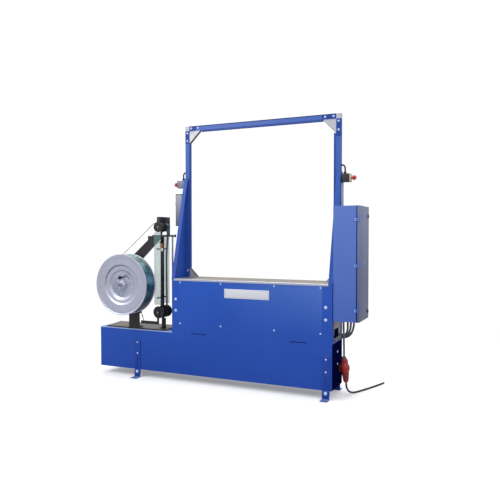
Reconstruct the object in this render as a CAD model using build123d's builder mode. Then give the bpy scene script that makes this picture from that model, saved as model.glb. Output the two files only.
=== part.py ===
from build123d import *
import os
from math import cos, radians, sin, sqrt

os.makedirs("parts", exist_ok=True)

# Semi-automatic strapping machine: a long sheet-steel base with a strap
# dispenser on its left end, a table body with the strapping head inside,
# a strap arch standing on the table and a control cabinet on the right.
# Frame: millimetres, +Z up, front at -Y, origin on the floor at the centre
# of the four foot anchor holes.

# ---------------------------------------------------------------- driving sizes
BODY_L, BODY_R = -488.0, 873.0        # table body, left and right faces
BASE_L = -1219.0                      # left end of the base
FRONT, REAR = -140.0, 140.0           # front and rear faces
SKIN = 3.0                            # cover sheet thickness
BASE_Z = 65.0                         # underside of the base
DECK_Z = 407.0                        # top of the dispenser end of the base
DECK_TOP = 417.0                      # top of the dispenser deck plate
SEAM_Z = 450.0                        # joint between lower and upper covers
TABLE_Z = 850.0                       # working height of the table
PLATE = 4.0                           # table plate thickness
STRIP_L, STRIP_R = 59.0, 75.0         # visible width of the two front posts

LEG_X = 829.0                         # leg centres at +-LEG_X
ANCHOR_Y = 180.0                      # anchor holes at +-ANCHOR_Y
LEG_W = 56.0
ANCHOR_R = 6.5

ARCH_TOP = 2130.0
ARCH_Y0, ARCH_Y1 = 85.0, 117.0        # front and rear of the arch profile
ARCH_Y = (ARCH_Y0 + ARCH_Y1) / 2      # strap plane
PROFILE = 38.0                        # visible width of the arch profile
GUIDE = 12.0                          # strap guide depth under the beam
GUIDE_L, GUIDE_R = 5.0, 19.0          # strap guide depths on the two columns
GUSSET_TOP, GUSSET_LOW = 108.0, 76.0  # legs of the triangular corner plates

GUARD_TOP = 1690.0                    # side guards meet the columns here
GUARD_SEAM = 1287.0
ESTOP_Z = 1640.0

CAB_X0, CAB_X1 = 876.0, 1052.0        # cabinet body
CAB_Y0, CAB_Y1 = -130.0, 170.0
CAB_Z0, CAB_Z1 = 579.0, 1419.0
DOOR_X0, DOOR_X1 = 1054.0, 1069.0
HINGE_X, HINGE_Y, HINGE_R = 1063.0, -137.0, 6.0
HINGE_Z = (677.0, 998.0, 1330.0)
LOCK_Y, LOCK_Z = 148.0, (630.0, 1348.0)
CONDUIT_TOPS = ((946.0, 30.0), (968.0, 38.0), (990.0, 46.0))

SPOOL_X, SPOOL_Z = -886.0, 795.0      # spool axis, along Y
SPOOL_R = 253.0
SPOOL_Y0, SPOOL_Y1 = -294.0, -160.0   # outer faces of the two flanges
HUB_R, COIL_R = 103.0, 247.0
AXLE_R = 15.0

MAG_X, MAG_Y = -636.0, -50.0          # strap magazine centre
MAG_Y0, MAG_Y1 = -130.0, 10.0
TOP_ROLL_X, TOP_ROLL_Z, TOP_ROLL_R = -626.0, 1274.0, 43.5
LOW_ROLL_X, LOW_ROLL_Z, LOW_ROLL_R = -627.0, 560.0, 51.0
SHAFT_R = 8.0
RUN = 0.06                            # radial clearance of running fits

LINK_X, LINK_Z = -772.0, 472.0        # lever to brake rod pivot

HEAD_X0, HEAD_X1 = 60.0, 320.0        # strapping head inside the body
FEED_X, FEED_Z, FEED_R = 120.0, 670.0, 40.0
PINCH_R = 25.0
PINCH_Z = FEED_Z + FEED_R + PINCH_R + 1.0
CAM_X, CAM_Z = 232.0, 700.0


# ---------------------------------------------------------------- small helpers
def block(x0, x1, y0, y1, z0, z1, mode=Mode.ADD):
    """Rectangular block between two corners, in the part being built."""
    with Locations(((x0 + x1) / 2, (y0 + y1) / 2, (z0 + z1) / 2)):
        Box(abs(x1 - x0), abs(y1 - y0), abs(z1 - z0), mode=mode)


def rod_x(x0, x1, y, z, r, mode=Mode.ADD):
    with Locations(((x0 + x1) / 2, y, z)):
        Cylinder(r, abs(x1 - x0), rotation=(0, 90, 0), mode=mode)


def rod_y(x, y0, y1, z, r, mode=Mode.ADD):
    with Locations((x, (y0 + y1) / 2, z)):
        Cylinder(r, abs(y1 - y0), rotation=(90, 0, 0), mode=mode)


def rod_z(x, y, z0, z1, r, mode=Mode.ADD):
    with Locations((x, y, (z0 + z1) / 2)):
        Cylinder(r, abs(z1 - z0), mode=mode)


def plate_xz(points, y0, y1, mode=Mode.ADD):
    """Flat plate with an outline in the XZ plane, between two Y faces."""
    with BuildSketch(Plane.XZ.offset(-y0)) as outline:
        with BuildLine():
            Polyline(*points, close=True)
        make_face()
    extrude(outline.sketch, amount=-(y1 - y0), mode=mode)


def plate_yz(points, x0, x1, mode=Mode.ADD):
    """Flat plate with an outline in the YZ plane, between two X faces."""
    with BuildSketch(Plane.YZ.offset(x0)) as outline:
        with BuildLine():
            Polyline(*points, close=True)
        make_face()
    extrude(outline.sketch, amount=(x1 - x0), mode=mode)


def slot_y(x, z, length, width, y0, y1, vertical=False, mode=Mode.SUBTRACT):
    """Round-ended slot through a sheet that faces the front."""
    with BuildSketch(Plane.XZ.offset(-y0)) as outline:
        with Locations((x, z)):
            SlotOverall(length, width, rotation=90 if vertical else 0)
    extrude(outline.sketch, amount=-(y1 - y0), mode=mode)


def finish(builder, name):
    builder.part.label = name
    export_step(builder.part, f"parts/{name}.step")


POST_BOLTS = [(-451.5, 680.0), (-451.5, 588.0), (825.5, 677.0), (825.5, 585.0)]
PANEL_SCREWS = [
    (x, z) for x in (-410.0, -38.0, 419.0, 786.0) for z in (819.0, 482.0)
]
LEG_SMALL = [(s * LEG_X, z) for s in (-1, 1) for z in (203.0, 296.0)]
LEG_BIG = [(s * LEG_X, 48.0) for s in (-1, 1)]
ARCH_BOLTS = [
    (-431.0, 2111.0), (-367.0, 2111.0), (748.0, 2111.0), (814.0, 2111.0),
    (-469.0, 2072.0), (-469.0, 2007.0), (854.0, 2072.0), (854.0, 2007.0),
    (-469.0, 904.0), (854.0, 904.0),
]

# ---------------------------------------------------------------- base
with BuildPart() as base_frame:
    block(BASE_L, BODY_R - SKIN, -137, 137, BASE_Z, DECK_Z)
    ribs = [BASE_L, -LEG_X - 2, BODY_L, 190, LEG_X - 2, BODY_R - SKIN - 4]
    for left, right in zip(ribs, ribs[1:]):
        block(left + 4, right, -140, 140, BASE_Z + 4, DECK_Z - 4, mode=Mode.SUBTRACT)
    # open top under the body, leaving rails and the head carrier plate
    block(BODY_L + 40, 30, -107, 107, DECK_Z - 6, DECK_Z + 1, mode=Mode.SUBTRACT)
    block(350, BODY_R - 45, -107, 107, DECK_Z - 6, DECK_Z + 1, mode=Mode.SUBTRACT)
    # relief behind the two grip slots
    for x in (-235.0, 613.0):
        block(x - 70, x + 70, -138, -125, DECK_Z - 6, DECK_Z + 1, mode=Mode.SUBTRACT)
    # fixing flanges on the ribs behind the legs
    for s in (-1, 1):
        for y0, y1 in ((-137, -133), (133, 137)):
            block(s * LEG_X - 28, s * LEG_X + 28, y0, y1, BASE_Z + 4, DECK_Z - 4)
    for x, z in LEG_SMALL:
        rod_y(x, -150, 150, z, 5.2, mode=Mode.SUBTRACT)
finish(base_frame, "base_frame")

with BuildPart() as lower_front_panel:
    plate_xz(
        [(BASE_L, BASE_Z), (BODY_R, BASE_Z), (BODY_R, SEAM_Z), (BODY_L, SEAM_Z),
         (BODY_L, DECK_Z), (BASE_L, DECK_Z)],
        FRONT, FRONT + SKIN,
    )
    for x in (-235.0, 613.0):
        slot_y(x, 405.0, 136, 8, FRONT - 1, FRONT + SKIN + 1)
    for x, z in LEG_SMALL:
        rod_y(x, FRONT - 1, FRONT + SKIN + 1, z, 5.2, mode=Mode.SUBTRACT)
finish(lower_front_panel, "lower_front_panel")

with BuildPart() as rear_panels:
    plate_xz(
        [(BASE_L, BASE_Z), (BODY_R, BASE_Z), (BODY_R, SEAM_Z), (BODY_L, SEAM_Z),
         (BODY_L, DECK_Z), (BASE_L, DECK_Z)],
        REAR - SKIN, REAR,
    )
    block(BODY_L + STRIP_L + 0.5, BODY_R - STRIP_R - 0.5, REAR - SKIN, REAR,
          SEAM_Z + 0.6, TABLE_Z - PLATE - 0.5)
    for x, z in LEG_SMALL:
        rod_y(x, REAR - SKIN - 1, REAR + 1, z, 5.2, mode=Mode.SUBTRACT)
    for x, z in PANEL_SCREWS:
        rod_y(x, REAR - SKIN - 1, REAR + 1, z, 3.2, mode=Mode.SUBTRACT)
finish(rear_panels, "rear_panels")

with BuildPart() as base_end_cover:
    block(BODY_R - SKIN, BODY_R, -137, 137, BASE_Z, DECK_Z)
    for z in (238.0, 332.0):
        rod_x(BODY_R - 5, BODY_R + 2, 9, z, 4.2, mode=Mode.SUBTRACT)
finish(base_end_cover, "base_end_cover")

with BuildPart() as legs:
    for s in (-1, 1):
        for y0, y1 in ((FRONT - 5, FRONT), (REAR, REAR + 5)):
            block(s * LEG_X - LEG_W / 2, s * LEG_X + LEG_W / 2, y0, y1, 32, 322)
            slot_y(s * LEG_X, 117, 98, 13, y0 - 1, y1 + 1, vertical=True)
    for x, z in LEG_SMALL:
        rod_y(x, -160, 160, z, 5.2, mode=Mode.SUBTRACT)
    for x, z in LEG_BIG:
        rod_y(x, -160, 160, z, 6.2, mode=Mode.SUBTRACT)
finish(legs, "legs")

with BuildPart() as feet:
    for s in (-1, 1):
        for t in (-1, 1):
            y_in, y_face, y_out = t * 145, t * 151, t * 208
            block(s * LEG_X - LEG_W / 2, s * LEG_X + LEG_W / 2,
                  min(y_in, y_face), max(y_in, y_face), 0, 64)
            block(s * LEG_X - LEG_W / 2, s * LEG_X + LEG_W / 2,
                  min(y_in, y_out), max(y_in, y_out), 0, 6)
            rod_z(s * LEG_X, t * ANCHOR_Y, -1, 7, ANCHOR_R, mode=Mode.SUBTRACT)
    for x, z in LEG_BIG:
        rod_y(x, -160, 160, z, 6.2, mode=Mode.SUBTRACT)
finish(feet, "feet")

# ---------------------------------------------------------------- body
with BuildPart() as body_frame:
    posts = [
        (BODY_L, BODY_L + STRIP_L), (BODY_R - STRIP_R, BODY_R),
    ]
    for x0, x1 in posts:
        for s in (-1, 1):
            ya, yb = sorted((s * 90.0, s * 137.0))
            block(x0, x1, ya, yb, DECK_Z, TABLE_Z - PLATE)
            ya, yb = sorted((s * 137.0, s * 140.0))
            block(x0, x1, ya, yb, SEAM_Z + 0.6, TABLE_Z - PLATE)
    for x0, x1 in posts:
        for s in (-1, 1):
            ya, yb = sorted((s * 93.0, s * 134.0))
            block(x0 + 3, x1 - 3, ya, yb, DECK_Z - 1, TABLE_Z - PLATE - 3, mode=Mode.SUBTRACT)
    for s in (-1, 1):
        # angle rails behind the covers, top and bottom
        for z0, z1, zf in ((800.0, 846.0, 843.0), (455.0, 505.0, 455.0)):
            ya, yb = sorted((s * 134.0, s * 137.0))
            block(BODY_L + STRIP_L, BODY_R - STRIP_R, ya, yb, z0, z1)
            ya, yb = sorted((s * 112.0, s * 137.0))
            block(BODY_L + STRIP_L, BODY_R - STRIP_R, ya, yb, zf, zf + 3)
    # left side sheet, welded between its posts, and the right side rails
    block(BODY_L, BODY_L + 3, -90, 90, DECK_Z, TABLE_Z - PLATE)
    block(BODY_R - 3, BODY_R, -90, 90, 806, TABLE_Z - PLATE)
    block(BODY_R - 3, BODY_R, -90, 90, DECK_Z, 424)
    # cross members under the table
    for x in (-200.0, 30.0, 340.0, 600.0):
        block(x - 15, x + 15, -112, 112, 840, 843)
        block(x - 15, x + 15, -137, -110, 840, 846)
        block(x - 15, x + 15, 110, 137, 840, 846)
    for x, z in PANEL_SCREWS:
        rod_y(x, -150, 150, z, 3.2, mode=Mode.SUBTRACT)
    for x, z in POST_BOLTS:
        for s in (-1, 1):
            ya, yb = sorted((s * 130.0, s * 145.0))
            rod_y(x, ya, yb, z, 6.2, mode=Mode.SUBTRACT)
    # clearance for the strap channel under the slot
    block(BODY_L + STRIP_L, BODY_R - STRIP_R, 90, 112, 826, 850, mode=Mode.SUBTRACT)
finish(body_frame, "body_frame")

with BuildPart() as upper_front_panel:
    block(BODY_L + STRIP_L + 0.5, BODY_R - STRIP_R - 0.5, FRONT, FRONT + SKIN,
          SEAM_Z + 0.6, TABLE_Z - PLATE - 0.5)
    for x, z in PANEL_SCREWS:
        rod_y(x, FRONT - 1, FRONT + SKIN + 1, z, 3.2, mode=Mode.SUBTRACT)
finish(upper_front_panel, "upper_front_panel")

with BuildPart() as side_plate_right:
    block(BODY_R - 3, BODY_R, -90, 90, 424, 806)
    # cable opening
    block(BODY_R - 4, BODY_R + 1, -91, 37, 444, 469, mode=Mode.SUBTRACT)
    # folded ledge along the foot
    block(BODY_R - 3, BODY_R + 14, -90, 90, 424, 428)
    block(BODY_R - 4, BODY_R + 1, -78, 37, 446, 511, mode=Mode.SUBTRACT)
    # round grab rail along the lower edge
    rod_y(BODY_R + 5, -86, 90, 437, 7.0)
finish(side_plate_right, "side_plate_right")

with BuildPart() as panel_screws:
    for x, z in PANEL_SCREWS:
        for s in (-1, 1):
            rod_y(x, s * 140, s * 142.6, z, 6.5)
            rod_y(x, s * 131, s * 140, z, 3.0)
finish(panel_screws, "panel_screws")

with BuildPart() as nameplate:
    with BuildSketch(Plane.XZ.offset(-FRONT)) as s:
        with Locations((187, 746.5)):
            RectangleRounded(382, 73, 3)
    extrude(amount=2)
finish(nameplate, "nameplate")

with BuildPart() as table_plates:
    block(-468, 845, FRONT, 93, TABLE_Z - PLATE, TABLE_Z)
    block(-468, 845, 109, 150, TABLE_Z - PLATE, TABLE_Z)
    for x0, x1 in ((-470, -436), (821, 850)):
        block(x0, x1, ARCH_Y0 - 1, ARCH_Y1 + 1, TABLE_Z - PLATE - 1, TABLE_Z + 1,
              mode=Mode.SUBTRACT)
    # relief for the corner plates and the side guards
    for x0, x1, y0, y1 in ((-437, -373, 88.5, 94), (758, 822, 88.5, 94),
                           (-469, -458.5, FRONT - 1, -136), (843.5, 846, FRONT - 1, -136)):
        block(x0, x1, y0, y1, TABLE_Z - PLATE - 1, TABLE_Z + 1, mode=Mode.SUBTRACT)
finish(table_plates, "table_plates")

with BuildPart() as table_lip:
    block(-468, 845, FRONT - 4, FRONT, TABLE_Z - 17, TABLE_Z)
finish(table_lip, "table_lip")

# ---------------------------------------------------------------- arch
with BuildPart() as arch_columns:
    for x0, x1 in ((BODY_L, BODY_L + PROFILE), (BODY_R - PROFILE, BODY_R)):
        block(x0, x1, ARCH_Y0, ARCH_Y1, TABLE_Z - PLATE, ARCH_TOP - PROFILE)
        block(x0 + 3, x1 - 3, ARCH_Y0 + 3, ARCH_Y1 - 3, TABLE_Z - PLATE - 1,
              ARCH_TOP - PROFILE + 1, mode=Mode.SUBTRACT)
    for x, z in ARCH_BOLTS[4:]:
        rod_y(x, ARCH_Y0 - 1, ARCH_Y1 + 1, z, 4.2, mode=Mode.SUBTRACT)
finish(arch_columns, "arch_columns")

with BuildPart() as arch_beam:
    x0, x1 = BODY_L + PROFILE, BODY_R - PROFILE
    block(x0, x1, ARCH_Y0, ARCH_Y1, ARCH_TOP - PROFILE, ARCH_TOP)
    block(x0 - 1, x1 + 1, ARCH_Y0 + 3, ARCH_Y1 - 3, ARCH_TOP - PROFILE + 3,
          ARCH_TOP - 3, mode=Mode.SUBTRACT)
    for x, z in ARCH_BOLTS[:4]:
        rod_y(x, ARCH_Y0 - 1, ARCH_Y1 + 1, z, 4.2, mode=Mode.SUBTRACT)
finish(arch_beam, "arch_beam")

with BuildPart() as arch_corner_plates:
    for s, edge in ((1, BODY_L), (-1, BODY_R)):
        inner = edge + s * PROFILE
        low = ARCH_TOP - PROFILE
        # square corner block with a tongue in each profile
        xa, xb = sorted((edge, inner))
        block(xa, xb, ARCH_Y0, ARCH_Y1, low, ARCH_TOP)
        xa, xb = sorted((edge + s * 3.4, inner - s * 3.4))
        block(xa, xb, ARCH_Y0 + 3.4, ARCH_Y1 - 3.4, low - 108, low + 5)
        xa, xb = sorted((inner - s * 5, inner + s * 108))
        block(xa, xb, ARCH_Y0 + 3.4, ARCH_Y1 - 3.4, low + 3.4, ARCH_TOP - 3.4)
        # triangular web inside the corner
        plate_xz(
            [(inner, low), (inner + s * GUSSET_TOP, low), (inner, low - GUSSET_TOP)],
            ARCH_Y0 + 4, ARCH_Y1 - 4,
        )
        # triangular web standing on the table
        plate_xz(
            [(inner, TABLE_Z), (inner + s * GUSSET_LOW, TABLE_Z),
             (inner, TABLE_Z + GUSSET_LOW)],
            ARCH_Y0 + 4, ARCH_Y1 - 4,
        )
    for x, z in ARCH_BOLTS[:8]:
        rod_y(x, ARCH_Y0 - 1, ARCH_Y1 + 1, z, 4.2, mode=Mode.SUBTRACT)
finish(arch_corner_plates, "arch_corner_plates")

with BuildPart() as arch_strap_guides:
    y0, y1 = ARCH_Y0 + 2, ARCH_Y1 - 2
    # columns: channels open towards the package
    for s, edge, deep in ((1, BODY_L + PROFILE, GUIDE_L), (-1, BODY_R - PROFILE, GUIDE_R)):
        xa, xb = sorted((edge, edge + s * deep))
        block(xa, xb, y0, y1, TABLE_Z + GUSSET_LOW + 1, ARCH_TOP - PROFILE - GUSSET_TOP - 1)
        xa, xb = sorted((edge + s * 3, edge + s * (deep + 1)))
        block(xa, xb, ARCH_Y - 8, ARCH_Y + 8, TABLE_Z + GUSSET_LOW, ARCH_TOP - PROFILE,
              mode=Mode.SUBTRACT)
    low = ARCH_TOP - PROFILE
    block(BODY_L + PROFILE + GUSSET_TOP + 1, BODY_R - PROFILE - GUSSET_TOP - 1,
          y0, y1, low - GUIDE, low)
    block(BODY_L + PROFILE + GUSSET_TOP, BODY_R - PROFILE - GUSSET_TOP,
          ARCH_Y - 8, ARCH_Y + 8, low - GUIDE - 1, low - 3, mode=Mode.SUBTRACT)
    # floor channel under the table slot, left and right of the strapping head
    for xa, xb in ((BODY_L + STRIP_L + 1, HEAD_X0 - 2), (HEAD_X1 + 2, BODY_R - STRIP_R - 1)):
        block(xa, xb, 91, 111, 828, 845.5)
        block(xa - 1, xb + 1, 94, 108, 831, 847, mode=Mode.SUBTRACT)
finish(arch_strap_guides, "arch_strap_guides")


def guard_outline():
    """Side guard in the YZ plane: vertical rear edge, sloped front edge."""
    top_y = FRONT + (GUARD_TOP - TABLE_Z) / 4.0
    return [(FRONT, TABLE_Z), (top_y, GUARD_TOP), (137.0, GUARD_TOP), (137.0, TABLE_Z)]


def guard_flange():
    top_y = FRONT + (GUARD_TOP - TABLE_Z) / 4.0
    return [(FRONT, TABLE_Z), (top_y, GUARD_TOP), (top_y + 3.1, GUARD_TOP),
            (FRONT + 3.1, TABLE_Z)]


with BuildPart() as guard_left:
    plate_yz(guard_outline(), BODY_L - 3, BODY_L)
    plate_yz(guard_flange(), BODY_L - 3, BODY_L + 29)
    # foot flange on the frame and the joint between the two sheets
    block(BODY_L - 3, BODY_L + 18, -136, 80, TABLE_Z - PLATE, TABLE_Z - 1)
    block(BODY_L - 3, BODY_L, FRONT, 137, TABLE_Z - PLATE, TABLE_Z + 1)
    block(BODY_L - 4, BODY_L + 31, FRONT - 1, 140, GUARD_SEAM - 0.6, GUARD_SEAM + 0.6,
          mode=Mode.SUBTRACT)
finish(guard_left, "guard_left")

with BuildPart() as guard_right:
    plate_yz(guard_outline(), BODY_R, BODY_R + 3)
    plate_yz(guard_flange(), BODY_R - 29, BODY_R + 3)
    block(BODY_R - 18, BODY_R + 3, -136, 80, TABLE_Z - PLATE, TABLE_Z - 1)
    block(BODY_R, BODY_R + 3, FRONT, 137, TABLE_Z - PLATE, TABLE_Z + 1)
    block(BODY_R - 31, BODY_R + 4, FRONT - 1, 140, GUARD_SEAM - 0.6, GUARD_SEAM + 0.6,
          mode=Mode.SUBTRACT)
finish(guard_right, "guard_right")

with BuildPart() as frame_bolts:
    for s in (-1, 1):
        for x, z in POST_BOLTS:
            rod_y(x, s * 140, s * 146, z, 11.0)
            rod_y(x, s * 128, s * 140, z, 6.0)
        for x, z in LEG_SMALL:
            rod_y(x, s * 145, s * 150, z, 8.0)
            rod_y(x, s * 126, s * 145, z, 5.0)
        for x, z in LEG_BIG:
            rod_y(x, s * 151, s * 158, z, 12.0)
            rod_y(x, s * 136, s * 151, z, 6.0)
    for x, z in ARCH_BOLTS:
        rod_y(x, ARCH_Y0 - 4, ARCH_Y0, z, 7.5)
        rod_y(x, ARCH_Y0, ARCH_Y1 + 6, z, 4.0)
    for z in (238.0, 332.0):
        rod_x(BODY_R, BODY_R + 4, 9, z, 8.0)
        rod_x(BODY_R - 3, BODY_R, 9, z, 4.0)
finish(frame_bolts, "frame_bolts")

# ---------------------------------------------------------------- emergency stops
ESTOP = 62.0                          # box width and height
BOX_LEN, LID_T = 66.0, 6.0
STOPS = ((-1, BODY_L - 3), (1, BODY_R + 3))

with BuildPart() as estop_boxes:
    for s, face in STOPS:
        xa, xb = sorted((face, face + s * BOX_LEN))
        block(xa, xb, ARCH_Y - 31, ARCH_Y + 31, ESTOP_Z - 31, ESTOP_Z + 31)
        xa, xb = sorted((face + s * 3, face + s * (BOX_LEN + 1)))
        block(xa, xb, ARCH_Y - 28, ARCH_Y + 28, ESTOP_Z - 28, ESTOP_Z + 28,
              mode=Mode.SUBTRACT)
        rod_z(face + s * 26, ARCH_Y, ESTOP_Z + 25, ESTOP_Z + 32, 7.2, mode=Mode.SUBTRACT)
finish(estop_boxes, "estop_boxes")

with BuildPart() as estop_lids:
    for s, face in STOPS:
        a = face + s * BOX_LEN
        xa, xb = sorted((a, a + s * LID_T))
        block(xa, xb, ARCH_Y - 31, ARCH_Y + 31, ESTOP_Z - 31, ESTOP_Z + 31)
        xa, xb = sorted((a - s * 1, a + s * (LID_T - 3)))
        block(xa, xb, ARCH_Y - 28, ARCH_Y + 28, ESTOP_Z - 28, ESTOP_Z + 28,
              mode=Mode.SUBTRACT)
        xa, xb = sorted((a + s * LID_T, a + s * (LID_T + 6)))
        rod_x(xa, xb, ARCH_Y, ESTOP_Z, 16.0)
        xa, xb = sorted((a, a + s * (LID_T + 8)))
        rod_x(xa, xb, ARCH_Y, ESTOP_Z, SHAFT_R + RUN, mode=Mode.SUBTRACT)
finish(estop_lids, "estop_lids")


def stop_button(s, face):
    """Mushroom head on a stem, pointing away from the column."""
    a = face + s * (BOX_LEN + LID_T)
    xa, xb = sorted((a - s * 30, a + s * 16))
    rod_x(xa, xb, ARCH_Y, ESTOP_Z, SHAFT_R)
    xa, xb = sorted((a + s * 13, a + s * 28))
    rod_x(xa, xb, ARCH_Y, ESTOP_Z, 17.0)
    xa, xb = sorted((a + s * 26, a + s * 40))
    with Locations(((xa + xb) / 2, ARCH_Y, ESTOP_Z)):
        Cone(17.0, 12.5, 14.0, rotation=(0, s * 90, 0))


with BuildPart() as estop_button_left:
    stop_button(*STOPS[0])
finish(estop_button_left, "estop_button_left")

with BuildPart() as estop_button_right:
    stop_button(*STOPS[1])
finish(estop_button_right, "estop_button_right")

with BuildPart() as estop_wiring:
    for s, face in STOPS:
        x_g = face + s * 26
        rod_z(x_g, ARCH_Y, ESTOP_Z + 26, ESTOP_Z + 33, 7.0)
        rod_z(x_g, ARCH_Y, ESTOP_Z + 31.2, ESTOP_Z + 45, 9.0)
        with BuildLine() as loop:
            Spline((x_g, ARCH_Y, ESTOP_Z + 44), (x_g - s * 4, ARCH_Y, ESTOP_Z + 80),
                   (face - s * 2.8, ARCH_Y - 2, ESTOP_Z + 108),
                   tangents=((0, 0, 1), (-s, 0, 0)))
        with BuildSketch(Plane(origin=(x_g, ARCH_Y, ESTOP_Z + 44), z_dir=(0, 0, 1))) as sec:
            Circle(4.2)
        sweep(sec.sketch, path=loop.line)
    # cable duct from the right stop down to the cabinet
    block(BODY_R + 3, BODY_R + 9, 92, 137, CAB_Z1 + 0.5, ESTOP_Z - 31.5)
finish(estop_wiring, "estop_wiring")

# ---------------------------------------------------------------- operator box
OP_X0, OP_X1 = -547.0, -491.0
OP_Y0, OP_Y1 = 25.0, 105.0
OP_Z0, OP_Z1 = 1284.0, 1553.0
START_Y, START_Z = 62.0, 1473.0
MODE_Y, MODE_Z = 62.0, 1390.0

with BuildPart() as control_box:
    block(OP_X0, OP_X1, OP_Y0, OP_Y1, OP_Z0, OP_Z1)
    block(OP_X0 - 1, OP_X1 - 3, OP_Y0 + 3, OP_Y1 - 3, OP_Z0 + 3, OP_Z1 - 3,
          mode=Mode.SUBTRACT)
    # lid, a separate tray on the outer side
    block(OP_X0 - 4, OP_X0 - 0.2, OP_Y0, OP_Y1, OP_Z0, OP_Z1)
    for z in (START_Z, MODE_Z):
        rod_x(OP_X0 - 5, OP_X0 + 1, 62, z, SHAFT_R + RUN, mode=Mode.SUBTRACT)
    rod_z(-520, 45, OP_Z0 - 20, OP_Z0, 9)
finish(control_box, "control_box")

with BuildPart() as start_button:
    rod_x(OP_X0 - 22, OP_X0 + 22, START_Y, START_Z, SHAFT_R)
    rod_x(OP_X0 - 26, OP_X0 - 12, START_Y, START_Z, 14)
finish(start_button, "start_button")

with BuildPart() as mode_selector:
    rod_x(OP_X0 - 8, OP_X0 + 22, MODE_Y, MODE_Z, SHAFT_R)
    rod_x(OP_X0 - 10, OP_X0 - 5, MODE_Y, MODE_Z, 14)
    block(OP_X0 - 22, OP_X0 - 9, MODE_Y - 3.5, MODE_Y + 3.5, MODE_Z - 13, MODE_Z + 13)
finish(mode_selector, "mode_selector")

# ---------------------------------------------------------------- cabinet
with BuildPart() as cabinet_body:
    block(CAB_X0, CAB_X1, CAB_Y0, CAB_Y1, CAB_Z0, CAB_Z1)
    block(CAB_X0 + 2, CAB_X1 - 2, CAB_Y0 + 2, CAB_Y1 - 2, CAB_Z0 + 2, CAB_Z1 - 2,
          mode=Mode.SUBTRACT)
    block(CAB_X1 - 3, CAB_X1 + 1, CAB_Y0 + 22, CAB_Y1 - 38, CAB_Z0 + 22, CAB_Z1 - 22,
          mode=Mode.SUBTRACT)
    # clearance for the lock tongues and cable entries in the floor
    for z in LOCK_Z:
        rod_x(CAB_X1 - 3, CAB_X1 + 1, LOCK_Y, z, 12.5, mode=Mode.SUBTRACT)
        block(CAB_X1 - 3, CAB_X1 + 1, LOCK_Y - 9, LOCK_Y + 9, z - 22, z + 22,
              mode=Mode.SUBTRACT)
    for x, y in ((919.0, 10.0),) + CONDUIT_TOPS:
        rod_z(x, y, CAB_Z0 - 1, CAB_Z0 + 3, 9.5, mode=Mode.SUBTRACT)
finish(cabinet_body, "cabinet_body")

with BuildPart() as cabinet_door:
    block(DOOR_X0, DOOR_X1, CAB_Y0, CAB_Y1, CAB_Z0, CAB_Z1)
    block(DOOR_X0 - 1, DOOR_X1 - 2, CAB_Y0 + 2, CAB_Y1 - 2, CAB_Z0 + 2, CAB_Z1 - 2,
          mode=Mode.SUBTRACT)
    for z in LOCK_Z:
        rod_x(DOOR_X0 + 4, DOOR_X1 - 1, LOCK_Y, z, 14)
        rod_x(DOOR_X0 - 1, DOOR_X1 + 1, LOCK_Y, z, SHAFT_R + RUN, mode=Mode.SUBTRACT)
    # upper hinge knuckles
    for z in HINGE_Z:
        rod_z(HINGE_X, HINGE_Y, z + 0.5, z + 25, HINGE_R)
        block(HINGE_X - 4, HINGE_X + 4, HINGE_Y, CAB_Y0 + 0.5, z + 0.5, z + 25)
        rod_z(HINGE_X, HINGE_Y, z - 1, z + 26, 3 + RUN, mode=Mode.SUBTRACT)
    # small round earth stud in the middle of the door
    rod_x(DOOR_X1, DOOR_X1 + 3, 38, 1005, 7)
finish(cabinet_door, "cabinet_door")

with BuildPart() as cabinet_hinges:
    for z in HINGE_Z:
        rod_z(HINGE_X, HINGE_Y, z - 25, z, HINGE_R)
        rod_z(HINGE_X, HINGE_Y, z - 25, z + 25, 3)
        block(CAB_X1 - 22, HINGE_X, CAB_Y0 - 5, CAB_Y0 - 0.5, z - 25, z - 0.5)
        block(CAB_X1 - 22, CAB_X1 - 2, CAB_Y0 - 5, CAB_Y0, z - 25, z - 0.5)
finish(cabinet_hinges, "cabinet_hinges")


def quarter_turn(z):
    """Lock insert: round head, shaft through the door, tongue behind it."""
    rod_x(DOOR_X1, DOOR_X1 + 3, LOCK_Y, z, 12)
    rod_x(CAB_X1 - 10, DOOR_X1 + 1, LOCK_Y, z, SHAFT_R)
    block(CAB_X1 - 10, CAB_X1 - 7, LOCK_Y - 7, LOCK_Y + 7, z - 4, z + 17)
    block(DOOR_X1 + 2, DOOR_X1 + 6, LOCK_Y - 3, LOCK_Y + 3, z - 9, z + 9)


with BuildPart() as door_lock_upper:
    quarter_turn(LOCK_Z[1])
finish(door_lock_upper, "door_lock_upper")

with BuildPart() as door_lock_lower:
    quarter_turn(LOCK_Z[0])
finish(door_lock_lower, "door_lock_lower")

with BuildPart() as switchgear:
    # mounting plate with rails, controller, drive, contactors and terminals
    block(884, 887, -110, 110, 620, 1380)
    for z in (700.0, 850.0, 1000.0, 1160.0):
        block(887, 893, -100, 100, z - 17, z + 17)
    for y in (-88.0, -36.0, 16.0, 68.0):
        block(893, 965, y - 22, y + 22, 960, 1042)
    block(893, 985, -95, 5, 1100, 1230)
    block(893, 960, 20, 95, 1110, 1215)
    for i in range(9):
        block(893, 945, -95 + i * 20, -79 + i * 20, 820, 882)
    for i in range(12):
        block(893, 930, -96 + i * 15, -84 + i * 15, 675, 728)
    for z in (758.0, 925.0):
        block(887, 925, -105, 105, z - 14, z + 14)
finish(switchgear, "switchgear")

with BuildPart() as conduits:
    # three conduits from the cabinet floor to the rear post of the body
    for i, (x, y) in enumerate(CONDUIT_TOPS):
        end = (BODY_R + 0.3, 108.0 + 12 * i, 442.0 - 12 * i)
        with BuildLine() as path:
            Bezier((x, y, CAB_Z0 + 8), (x, y, 478 - 8 * i), (928, end[1], end[2]), end)
        with BuildSketch(Plane(origin=(x, y, CAB_Z0 + 8), z_dir=(0, 0, -1))) as sec:
            Circle(7.2)
        sweep(sec.sketch, path=path.line)
finish(conduits, "conduits")

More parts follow.
